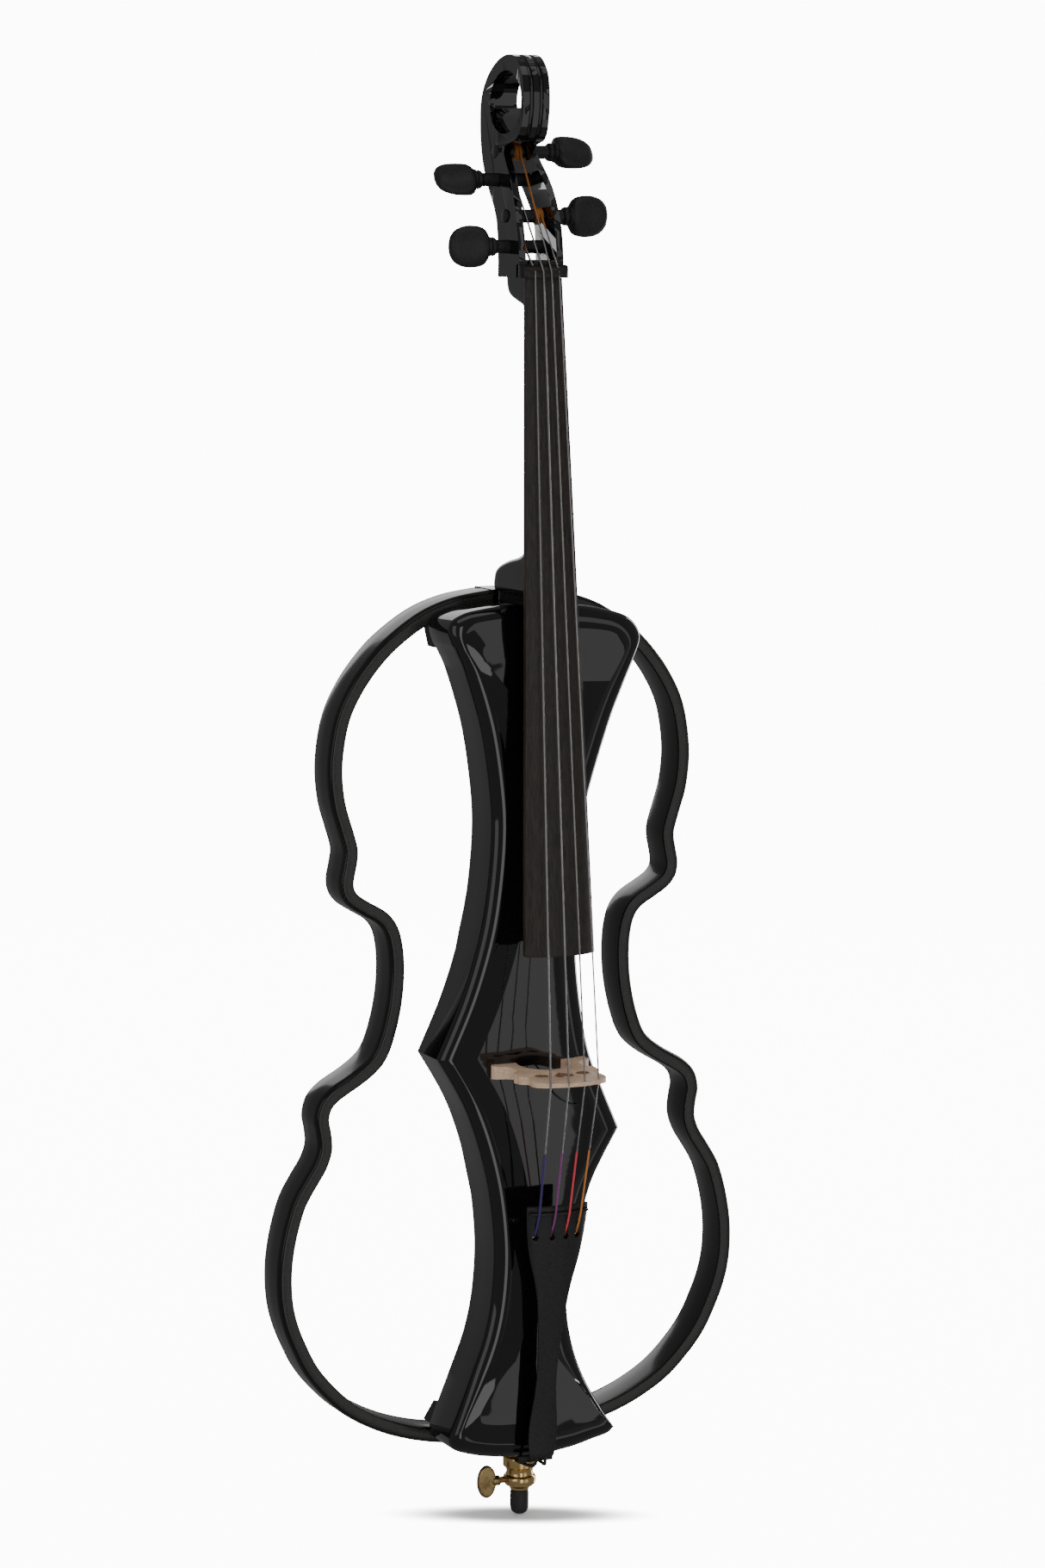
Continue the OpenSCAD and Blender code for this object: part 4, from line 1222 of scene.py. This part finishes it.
@dataclass
class Peg:
    """One tuning peg with its turned collar and flattened head."""

    index: int
    shaft: float = 5.8
    wire: float = 0.75
    steps: int = 20

    def build(self, wear: Finishes, grow: Grower) -> None:
        """Build the peg and the turns of string round it."""
        side, y, z, turn = PEGS[self.index]
        key = KEYS[self.index]
        body = f"peg_{key}_body"
        far = look(HEAD_HALF, z, smooth=False) + 1.5
        outwards = "X" if side > 0 else "-X"
        m = Maker(f"peg_{key}_turned", wear.satin, body, "satin_black")
        r = self.shaft
        m.lathe([(0, -far), (r - 0.8, -far), (r - 0.2, -far + 0.3), (r, -far + 1), (r, 30),
                 (r, 32.4), (r + 0.9, 33), (7.6, 34), (8.1, 35.2), (8.1, 36.2), (7.4, 37),
                 (7.0, 37.6), (7.6, 38.2), (8.6, 38.8), (9.0, 39.6), (9.0, 40.4), (8.4, 41.2),
                 (0, 41.6)], (0, 0, 0), outwards, 40)
        pad = [(7.0, 39.8), (9.5, 40.3), (12.2, 41.2), (14.6, 42.8), (16.2, 45.0), (17.2, 48),
               (17.8, 52), (18.0, 56.5), (17.7, 61), (16.7, 65.3), (14.9, 69.2), (12.3, 72.3),
               (8.9, 74.6), (4.8, 75.7), (2.0, 75.95), (0, 76)]

        def flat(x: float) -> Flat:
            """Cross radii of the head: full height, and a waisted thickness."""
            r_here = max(look([(b, a) for a, b in pad], x), 0.5)
            thick = look(((39.8, 7.0), (42, 9.0), (45, 9.4), (52, 7.8), (60, 6.6), (68, 6.2),
                          (72, 5.6), (74.6, 4.2), (75.7, 2.4), (76, 0.4)), x)
            return (min(thick, r_here) / r_here, 1.0)
        m.lathe(pad, (0, 0, 0), outwards, 40, flat)
        spin = Matrix.Rotation(math.radians(turn * side), 4, "X")
        bmesh.ops.transform(m.bm, matrix=Matrix.Translation((0, y * MM, z * MM)) @ spin,
                            verts=m.bm.verts)
        m.done(smooth=45, replaces=(f"peg_{key}",))
        self.windings(wear, grow, key, body)

    def windings(self, wear: Finishes, grow: Grower, key: str, body: str) -> None:
        """Build the turns of string round the shaft, and the sleeve under them."""
        _, y, z, _ = PEGS[self.index]
        middle, half, wire = TURN_X[self.index], TURN_LEN / 2, self.wire
        core_r = TURN_R[self.index] - 2 * wire
        steps = TURN_LEN / (wire * 2) * self.steps
        route = []
        for k in range(int(steps) + 1):
            a = math.tau * k / self.steps
            x = middle - half + wire + k / steps * (TURN_LEN - 2 * wire)
            route.append((x, y + (core_r + wire) * math.cos(a), z + (core_r + wire) * math.sin(a)))
        grow.tube(f"turns_{key}_wound", route, wire, wear.peg_silk, body, "silk_peg", 8,
                  (f"turns_{key}",))
        sleeve = Maker(f"turns_{key}_base", wear.peg_silk, body, "silk_peg")
        sleeve.lathe([(self.shaft + 0.02, -half), (core_r, -half + 0.2), (core_r + 0.2, 0),
                      (core_r, half - 0.2), (self.shaft + 0.02, half)], (middle, y, z), "X", 32)
        sleeve.done()


def tangent(n: Flat, c: Flat, r: float) -> Flat:
    """Where a line from n meets the front of a circle of radius r round c."""
    d = math.dist(n, c)
    a = math.atan2(c[1] - n[1], c[0] - n[0]) + math.asin(r / d)
    run = math.sqrt(d * d - r * r)
    return (n[0] + run * math.cos(a), n[1] + run * math.sin(a))


@dataclass
class Strings:
    """The four strings with their silks and ball ends."""

    nut_spread: float = 22.4
    bridge_spread: float = 46.8
    bridge_z: float = 412.0
    tops: tuple[float, ...] = (-109.5, -113.0, -112.6, -107.5)
    tail_x: tuple[float, ...] = (-17.0, -2.5, 10.8, 22.5)
    silk_start: float = 348.0
    bare: tuple[float, ...] = (0.62, 0.80, 0.42, 0.72)

    def route(self, i: int) -> list[Point]:
        """Ball end, slot, tailpiece fret, bridge, nut and peg of string i."""
        _, py, pz, _ = PEGS[i]
        x = self.tail_x[i]
        dip = 5 * ((x - tail_mid(FRET_Z)) / 29) ** 2
        nut_y = -42.5 + (0.8 if i in (0, 3) else 0)
        t = tangent((nut_y, NUT_Z + 5), (py, pz), TURN_R[i] + STRING_R[i] * 0.2)
        return [(x, tail_front(268) + dip + 3.4, 269.5),
                (x, tail_front(281) + dip - 0.5, 280),
                (x, tail_front(FRET_Z) + dip - 2.6 - STRING_R[i], FRET_Z),
                (self.bridge_spread * (i / 3 - 0.5), self.tops[i] - STRING_R[i] * 0.3,
                 self.bridge_z),
                (self.nut_spread * (i / 3 - 0.5), nut_y, NUT_Z + 5),
                (TURN_X[i], t[0], t[1])]

    def build(self, wear: Finishes, grow: Grower) -> None:
        """Build strings, silks and balls."""
        for i, key in enumerate(KEYS):
            q = self.route(i)
            t = (self.silk_start - q[2][2]) / (q[3][2] - q[2][2])
            start = tuple(lerp(a, b, t) for a, b in zip(q[2], q[3]))
            out = tuple(lerp(a, b, self.bare[i]) for a, b in zip(q[4], q[5]))
            grow.tube(f"string_{key}_wire", [start, q[3], q[4], out], STRING_R[i], wear.string,
                      replaces=(f"string_{key}",))
            grow.tube(f"string_{key}_tail_silk", [q[0], q[1], q[2], start], STRING_R[i] + 0.14,
                      wear.silks[i], slot="silk_peg")
            grow.tube(f"string_{key}_peg_silk", [out, q[5]], STRING_R[i] + 0.1,
                      wear.peg_silk, slot="silk_peg", sides=10)
        m = Maker("ball_ends", wear.brass, slot="brass")
        for i in range(4):
            x, y, z = self.route(i)[0]
            m.lathe([(0.9, -1.6), (1.9, -1.6), (2.2, -1.1), (2.2, 1.1), (1.9, 1.6), (0.9, 1.6),
                     (0.9, -1.6)], (x, y + STRING_R[i] + 3.0, z - 1.5), "X", 24)
        m.done(replaces=("string_balls",))


def strings() -> Strings:
    """The one set of strings."""
    return Strings()


# ---------------------------------------------------------------- bridge and pickup

@dataclass
class Bridge:
    """Maple bridge with heart and kidney holes, and the pickup under its arch."""

    base: float = -34.0
    z: float = 412.0
    through: Flat = (380.0, 440.0)
    half_line: tuple[Flat, ...] = (
        (0, 31), (7.5, 29.6), (14, 26), (19, 20.5), (21, 16), (22.5, 9), (22, 3), (21, 0),
        (45, 0), (46.5, 2.5), (46, 6), (42, 9.5), (36, 11.5), (33.2, 14.5), (31.4, 20), (31.6, 26),
        (34.2, 29.5), (37.6, 31.5), (39, 35), (38, 39.5), (38.4, 43), (36.6, 46.6), (33.6, 49),
        (32.6, 53), (34.2, 60), (33.6, 67), (31, 71.2), (26, 74.6), (22, 76.2), (8, 79.6), (0, 80))

    def line(self) -> list[Flat]:
        """Whole outline in X and height above the base, smooth but for the feet."""
        inner = spline(self.half_line[:7], 3)
        outer = spline(self.half_line[9:], 3)
        half = ([(p[0], p[1]) for p in inner] + [(21.5, -3.4), (44.6, -3.4), (45, 0)]
                + [(p[0], p[1]) for p in outer])
        left = [(-x, h) for x, h in rev(half)][1:-1]
        return half + left

    def thick(self, h: float) -> Flat:
        """Lower and upper face's height along Z at a height above the base."""
        return (self.z + lerp(-6.0, -1.8, h / 85), self.z + lerp(6.0, 1.1, h / 85))

    def build(self, wear: Finishes, grow: Grower) -> None:
        """Build the bridge, the pickup and its lead."""
        line = self.line()
        m = Maker("carved_bridge", wear.maple, slot="maple")
        m.rings([[(x, self.base + 0.02 - h, self.thick(h)[k]) for x, h in line] for k in (0, 1)])
        tools = []
        for hole in ((-19.5, 49, 6.2, 5.0, 12), (19.5, 49, 6.2, 5.0, -12),
                     (-4.3, 53, 4.6, 4.8, 0), (4.3, 53, 4.6, 4.8, 0)):
            tools.append(cutter(lambda t, a=hole: t.rings(self.hole(*a))))
        tools.append(cutter(lambda t: t.rings([
            [(x, self.base - h, w) for x, h in ((-8.6, 51), (8.6, 51), (0.0, 42))]
            for w in self.through])))
        tools += [gouge(strings().route(i)[2:5], STRING_R[i] + 0.03, 10) for i in range(4)]
        # The hole walls wear the darker maple, painted shade in the holes.
        m.done(bevel=0.7, segments=3, smooth=34, cut=tools, replaces=("bridge",),
               edge_material=self.shaded_hole_wall, second=wear.maple_painted_hole_shade)
        p = Maker("pickup_block", wear.plate, slot="pickup_black")
        p.box((-6, self.base - 29.5, self.z - 3), (6, self.base - 22, self.z + 3))
        p.done(bevel=0.5, segments=2, replaces=("piezo_pickup",))
        self.lead(wear, grow)

    def shaded_hole_wall(self, centre: Vector, normal: Vector) -> bool:
        """Whether a face is a wall of one of the holes, which wears the darker maple as painted
        shade.
        """
        h = self.base - centre.y
        return (abs(normal.z) < 0.35 and abs(centre.x) < 27 and 41.5 < h < 59
                and self.z - 4.6 < centre.z < self.z + 4.6)

    def hole(self, x: float, h: float, rx: float, rh: float, tilt: float) -> list[list[Point]]:
        """Rings of an oval cutter along Z."""
        t = math.radians(tilt)
        ring = []
        for a in angles(32):
            u, v = rx * math.cos(a), rh * math.sin(a)
            ring.append((x + u * math.cos(t) - v * math.sin(t),
                         h + u * math.sin(t) + v * math.cos(t)))
        return [[(u, self.base - v, w) for u, v in ring] for w in self.through]

    def lead(self, wear: Finishes, grow: Grower) -> None:
        """Thin lead from the pickup down into the core's front."""
        route = [(4, -56, 412), (4.5, -52, 411.5), (5, -46, 410), (5.5, -41, 407),
                 (6.5, -37.5, 403), (9, -36, 397), (13, -35.6, 391), (18, -35.4, 385.5),
                 (24, -35.2, 381), (30, -35.2, 378), (35, -36, 376.3), (37.5, -36.5, 376),
                 (38, -35, 376), (38, -32, 376)]
        fine = spline(route, 6)
        grow.tube("thin_lead", fine, 0.7, wear.rubber, slot="rubber", sides=10,
                  replaces=("pickup_lead",))
        log.info("lead length %.1f mm", sum(math.dist(a, b) for a, b in zip(fine, fine[1:])))


# ---------------------------------------------------------------- tailpiece

TAIL_ROWS = ((64, 11.5, -49), (80, 13.5, -49.5), (98, 13, -50.5), (120, 10.5, -52.5),
             (140, 9.5, -54.5), (172, 11, -58.5), (205, 14, -63), (225, 17.5, -65.5),
             (250, 24, -69), (270, 27.3, -71.7), (285, 28.7, -73.7), (296, 29.5, -75))


TAIL_LOW = 64
TAIL_HIGH = 296
TAIL_LEAN = 4.5
FRET_Z = 290


def tail_front(z: float) -> float:
    """Depth of the tailpiece's front on its centre line."""
    return look(TAIL_ROWS, z, 2, smooth=False)


def tail_mid(z: float) -> float:
    """Sideways place of the tailpiece's centre line."""
    return TAIL_LEAN * (z - TAIL_LOW) / (TAIL_HIGH - TAIL_LOW)


@dataclass
class Tail:
    """Tailpiece, its fret, tail cord and saddle."""

    thick: float = 7.0
    cord: tuple[Point, ...] = (
        (4, -45, 76), (4, -45, 64), (4.3, -44.6, 60), (5, -43, 57), (6, -39.5, 55),
        (7, -35, 54.2), (8, -28, 53.6), (9, -20, 53.3), (9.6, -15, 53.2), (9.2, -12.3, 53))

    def build(self, wear: Finishes, grow: Grower) -> None:
        """Build the four pieces."""
        rings = []
        heights = [TAIL_LOW, 64.6, 66, 69, *range(74, 285, 6), 288, 292.5, 295, TAIL_HIGH]
        for z in heights:
            near = min(z - TAIL_LOW, TAIL_HIGH - z)
            trim = 0.9 * (1 - clamp(near / 2.2, 0, 1)) ** 2
            h, top = look(TAIL_ROWS, z) - trim, look(TAIL_ROWS, z, 2) + trim
            dip = 0.26 * h * h / 29
            low = top + self.thick - 2 * trim
            side = [(1.0, top + dip + 0.5), (1.0, top + dip + 1.6), (0.93, top + dip + 2.8),
                    (0.74, low - 1.0 + dip * 0.5), (0.4, low)]
            ring = [(h * 0.985 * k / 9, top + dip * (k / 9) ** 2 * 0.97) for k in range(-9, 10)]
            ring += [(h * f, y) for f, y in side] + [(-h * f, y) for f, y in rev(side)]
            rings.append([(x + tail_mid(z), y, z) for x, y in ring])
        m = Maker("hollow_tailpiece", wear.satin, slot="satin_black").rings(rings)
        tools = []
        for x in strings().tail_x:
            tools.append(drill(2.6, -100, -40, (x, 0, 268), "Y", 24))
            tools.append(cutter(lambda t, x=x: t.box((x - 1.1, -100, 268), (x + 1.1, -40, 281))))
        tools.append(cutter(self.fret_shape))
        tools += [drill(1.55, 50, 76, (x, tail_front(TAIL_LOW) + 4, 0), "Z", 20)
                  for x in (-4, 4)]
        m.done(bevel=0.3, segments=2, smooth=34, cut=tools, replaces=("tailpiece",))
        fret = self.fret_shape(Maker("tail_fret", wear.dark_nut, slot="dark_board"))
        fret.done(bevel=0.5, segments=3, replaces=("tailpiece_fret",))
        for s, side in ((-1, "left"), (1, "right")):
            route = [(x * s, y, z) for x, y, z in self.cord]
            grow.tube(f"tail_cord_{side}", spline(route, 4), 1.5, wear.cord, slot="cord_black",
                      sides=14, replaces=("tail_cord",) if s < 0 else ())
        b = Maker("bottom_saddle", wear.dark_nut, slot="dark_board")
        b.box((-16, -36.4, 57), (16, -31.2, 63.2))
        b.done(bevel=1.2, segments=3, replaces=("saddle",))

    @staticmethod
    def fret_shape(m: Maker) -> Maker:
        """Bowed bar across the tailpiece's top end."""
        front = tail_front(FRET_Z)
        line = [28 * k / 10 for k in range(-10, 11)]
        sag = [6.2 * (x / 28) ** 2 for x in line]
        outline = [(x, front + s - 2.6) for x, s in zip(line, sag)]
        outline += [(x, front + s + 2) for x, s in zip(rev(line), rev(sag))]
        return m.rings([[(x + tail_mid(FRET_Z), y, z) for x, y in outline]
                        for z in (FRET_Z - 1.2, FRET_Z + 1.2)])


# ---------------------------------------------------------------- endpin

@dataclass
class Endpin:
    """Brass collar, steel rod, rubber tip and thumb screw."""

    screw_z: float = 32.5

    def build(self, wear: Finishes, frame: dict[str, Any]) -> None:
        """Build the pieces."""
        m = Maker("turned_collar", wear.brass, slot="brass")
        m.lathe([(5.05, 22.6), (5.4, 22.4), (8.2, 22.4), (8.6, 22.8), (8.9, 24.2), (9.6, 25.2),
                 (11.6, 26.2), (13.2, 27.6), (14.4, 29.5), (14.9, 31.6), (14.85, 33.6),
                 (14.2, 35.2), (13.1, 36.3), (12.5, 36.8), (12.35, 37.4), (12.1, 38),
                 (11.95, 39.4), (12.1, 40.8), (12.5, 42), (13.3, 43.2), (14.5, 44), (14.95, 44.6),
                 (15, 45.2), (15, 51.8), (14.8, 52.9), (14.2, 53.8), (13.4, 54.6), (11, 55),
                 (11, 98), (5.05, 98), (5.05, 22.6)], (0, 0, 0), sides=72)
        m.done(smooth=32, replaces=("endpin_collar",))
        t = Maker("rubber_foot", wear.rubber, "endpin", "rubber")
        t.lathe([(0, 0.001), (2.4, 0.1), (3.9, 0.35), (5.3, 0.95), (6.6, 2.0), (7.5, 3.4),
                 (8.1, 5.2), (8.38, 7.5), (8.4, 9), (8.4, 19.6), (8.25, 20.7), (7.8, 21.6),
                 (7.2, 22), (5.0, 22), (0, 21.9)], (0, 0, 0), sides=56)
        t.done(smooth=40, replaces=("endpin_tip",))
        dress(frame, wear.steel, "endpin_rod")
        s = Maker("thumb_paddle", wear.old_brass, "thumbscrew", "old_brass")
        s.lathe([(0, 5.45), (2.6, 5.45), (2.95, 5.9), (2.95, 19), (3.2, 19.6), (4.2, 20),
                 (4.6, 20.6), (4.6, 24.5), (4.2, 26), (3.0, 28), (0, 28.4)],
                (0, 0, self.screw_z), "-X", 36)
        rings = []
        half = ((2.6, 0.80), (2.5, 0.9), (2.0, 0.965), (1.1, 1.0))
        for y, f in [(-y, f) for y, f in half] + rev(half):
            rings.append([(-32.3 + 9 * f * math.cos(a), y, self.screw_z + 14.8 * f * math.sin(a))
                          for a in angles(48)])
        s.rings(rings)
        s.done(smooth=45, replaces=("endpin_thumbscrew",))


# ---------------------------------------------------------------- back and small parts

def dress(frame: dict[str, Any], material: bpy.types.Material, *nodes: str) -> None:
    """Give CAD nodes a better material.

    Args:
        frame: the loaded frame.
        material: what they wear.
        nodes: their names.
    """
    for name in nodes:
        for slot in frame["nodes"][name].material_slots:
            slot.material = material
        log.info("%s: dressed in %s", name, material.name)


@dataclass
class BackPanel:
    """Controls on the spine's back."""

    face: float = 58.0
    knobs: tuple[tuple[str, float, float], ...] = (("volume", -16.0, 470.0), ("tone", 16.0, 470.0))
    screws: tuple[Flat, ...] = ((-32.8, 388.5), (32.8, 388.5), (-32.8, 493.5), (32.8, 493.5))

    def build(self, wear: Finishes, grow: Grower, frame: dict[str, Any]) -> None:
        """Build the knobs and screw heads, and dress the rest."""
        for name, x, z in self.knobs:
            m = Maker(f"{name}_cap", wear.gloss, name, "knob_black")
            m.lathe([(0, 52), (3, 52), (3, 61), (8.2, 60.85), (9.0, 61.0), (9.3, 61.5),
                     (9.3, 62.2), (8.7, 62.6), (8.5, 69.4), (8.2, 70.6), (7.4, 71.6), (6.8, 71.9),
                     (6.2, 71.8), (5.6, 71.4), (0, 71.2)], (x, 0, z), "Y", 56)
            m.done(smooth=34, replaces=(f"{name}_knob",))
            grow.run(f"{name}_ribs", grow.ridge_group, [(x, 66.2, z)], [],
                     {"Count": 40, "Rim": 0.0087, "Length": 0.0062, "Width": 0.0007,
                      "Material": wear.gloss}, name, "knob_black", smooth=20)
            dot = Maker(f"{name}_pointer", wear.mark, name, "knob_black")
            dot.box((x - 0.5, 71.0, z + 3.2), (x + 0.5, 71.95, z + 6.6))
            dot.done(bevel=0.15, segments=2)
        grow.run("panel_screw_heads", grow.screw_group,
                 [(x, self.face - 1.15, z) for x, z in self.screws], [],
                 {"Radius": 0.0021, "Height": 0.0006, "Material": wear.steel}, "body", "steel",
                 smooth=20)
        for finish, nodes in (
                (wear.lacquer, ("back_spine",)),
                (wear.plate, ("control_plate", "battery_door", "switch_body")),
                (wear.steel, ("plate_screws", "battery_door_pin", "neck_bolts", "block_screws")),
                (wear.nickel, ("potentiometers", "output_jack", "headphone_jack")),
                (wear.gloss, ("switch_slider",)), (wear.resist, ("preamp_board",)),
                (wear.shell, ("battery",)), (wear.rubber, ("lead_grommet",)),
                (wear.dowel, ("frame_dowels",)), (wear.satin, ("corner_blocks",))):
            dress(frame, finish, *nodes)


# ---------------------------------------------------------------- studio

@dataclass
class Studio:
    """Camera, floor and lights."""

    spot: Point = (-1.5634, -3.3919, 1.1573)
    yaw: float = 24.73
    pitch: float = -7.61
    roll: float = 0.348
    lens: float = 98.85
    floor_radius: float = 14.0
    floor_height: float = -0.0004
    painted_shadow_half: Flat = (0.135, 0.034)
    lamps: tuple[tuple[str, Point, Point, Flat, float], ...] = (
        ("edge_strip", (-0.56, -3.6, 0.5), (0, 0, 0.5), (0.85, 4.2), 17),
        ("front_panel", (1.55, -3.3, 0.2), (0, 0, 0.5), (1.25, 3.6), 8.5),
        ("strip_right", (3.0, 1.1, 0.6), (0, 0, 0.6), (0.4, 4.4), 46),
        ("soft_key", (-3.0, -1.9, 1.5), (0, 0, 0.7), (2.0, 3.2), 15),
        ("top_panel", (0, -0.9, 3.2), (0, 0, 0.8), (2.2, 1.2), 6),
        ("rear_fill", (0.6, 3.0, 1.6), (0, 0, 0.7), (2.0, 2.0), 15))

    def camera(self) -> None:
        """Set up the camera."""
        data = bpy.data.cameras.new("studio_camera")
        data.lens, data.sensor_width, data.sensor_fit = self.lens, 36.0, "AUTO"
        data.clip_end = 60
        cam = put("studio_camera", data)
        yaw, pitch, roll = (math.radians(a) for a in (self.yaw, self.pitch, self.roll))
        ahead = Vector((math.sin(yaw) * math.cos(pitch), math.cos(yaw) * math.cos(pitch),
                        math.sin(pitch)))
        right = Vector((math.cos(yaw), -math.sin(yaw), 0))
        up = right.cross(ahead)
        r = right * math.cos(roll) + up * math.sin(roll)
        u = -right * math.sin(roll) + up * math.cos(roll)
        turn = Matrix((r, u, -ahead)).transposed().to_4x4()
        cam.matrix_world = Matrix.Translation(self.spot) @ turn
        bpy.context.scene.camera = cam

    def floor(self) -> None:
        """Lay a wide pale floor under the rubber foot, with a soft dark patch painted on it as a
        shadow.
        """
        mesh = bpy.data.meshes.new("pale_floor")
        ring = [(self.floor_radius * math.cos(a), self.floor_radius * math.sin(a),
                 self.floor_height) for a in angles(96)]
        mesh.from_pydata(ring, [], [list(range(len(ring)))])
        obj = put("pale_floor", mesh)
        s = Shade("pale_floor")
        s.feed(Base_Color=(0.9, 0.9, 0.9), Roughness=0.8, Specular_IOR_Level=0.1)
        # The soft dark ellipse, turned to the camera's yaw, is a painted shadow: it dims the
        # floor's glow under the foot.
        x, y = s.axis("X"), s.axis("Y")
        turn = math.radians(self.yaw)
        wide = (x * math.cos(turn) - y * math.sin(turn)) / self.painted_shadow_half[0]
        deep = (x * math.sin(turn) + y * math.cos(turn) + 0.004) / self.painted_shadow_half[1]
        away = ((wide * wide + deep * deep) ** 0.5).between(0.0, 1.0)
        seen = s.node("ShaderNodeEmission", None, {
            "Color": (1, 1, 1, 1), "Strength": away ** 4.0 * 11.5 + 0.1})
        both = s.node("ShaderNodeAddShader", None, {0: Sock(s, s.shader.outputs[0]), 1: seen})
        clear = s.node("ShaderNodeBsdfTransparent")
        path = s.tree.nodes.new("ShaderNodeLightPath")
        through = Sock(s, path.outputs["Is Glossy Ray"]) + Sock(s, path.outputs["Is Shadow Ray"])
        rest = s.node("ShaderNodeMixShader", None, {
            0: through, 1: Sock(s, s.shader.outputs[0]), 2: clear})
        pick = s.node("ShaderNodeMixShader", None, {
            0: Sock(s, path.outputs["Is Camera Ray"]), 1: rest, 2: both})
        s.tree.links.new(pick.socket, s.tree.nodes["Material Output"].inputs[0])
        mesh.materials.append(s.material)

    def light(self, name: str, spot: Point, aim: Point, size: Flat, power: float) -> None:
        """Hang one rectangular light.

        Args:
            name: its name.
            spot: where it hangs, in metres.
            aim: where it points.
            size: width and height.
            power: watts.
        """
        data = bpy.data.lights.new(name, "AREA")
        data.shape, data.size, data.size_y, data.energy = "RECTANGLE", *size, power
        lamp = put(name, data)
        lamp.location, lamp.visible_camera = spot, False
        lamp.rotation_euler = (Vector(aim) - Vector(spot)).to_track_quat("-Z", "Y").to_euler()

    def lights(self) -> None:
        """Hang the lights and set the room's own light."""
        for lamp in self.lamps:
            self.light(*lamp)
        world = bpy.data.worlds.new("studio_room")
        bpy.context.scene.world = world
        world.use_nodes = True
        nodes, links = world.node_tree.nodes, world.node_tree.links
        path = nodes.new("ShaderNodeLightPath")

        def glow(node: bpy.types.Node, grey: float, strength: float) -> bpy.types.NodeSocket:
            """Set a background shader to an even grey."""
            node.inputs["Color"].default_value = (grey, grey, grey, 1)
            node.inputs["Strength"].default_value = strength
            return node.outputs[0]

        def choose(kind: str, other: bpy.types.NodeSocket,
                   match: bpy.types.NodeSocket) -> bpy.types.NodeSocket:
            """Shader that is match for one kind of ray and other for the rest."""
            mixer = nodes.new("ShaderNodeMixShader")
            for i, socket in enumerate((path.outputs[kind], other, match)):
                links.new(socket, mixer.inputs[i])
            return mixer.outputs[0]
        sky = glow(nodes["Background"], 1, 0.55)
        gloss = glow(nodes.new("ShaderNodeBackground"), 0.5, 0.36)
        seen = glow(nodes.new("ShaderNodeBackground"), 1, 12.0)
        all_rays = choose("Is Camera Ray", choose("Is Glossy Ray", sky, gloss), seen)
        links.new(all_rays, nodes["World Output"].inputs[0])


def main() -> None:
    """Build the instrument and its studio."""
    logging.basicConfig(level=logging.INFO, format="%(message)s")
    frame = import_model()
    studio = Studio()
    studio.camera()
    wear, grow = Finishes(), Grower()
    Core().build(wear)
    for side in (-1, 1):
        Rib().build(wear, side)
    Neck().build(wear)
    Head().build(wear)
    for i in range(4):
        Peg(i).build(wear, grow)
    strings().build(wear, grow)
    Bridge().build(wear, grow)
    Tail().build(wear, grow)
    Endpin().build(wear, frame)
    BackPanel().build(wear, grow, frame)
    studio.floor()
    studio.lights()


if __name__ == "__main__":
    main()
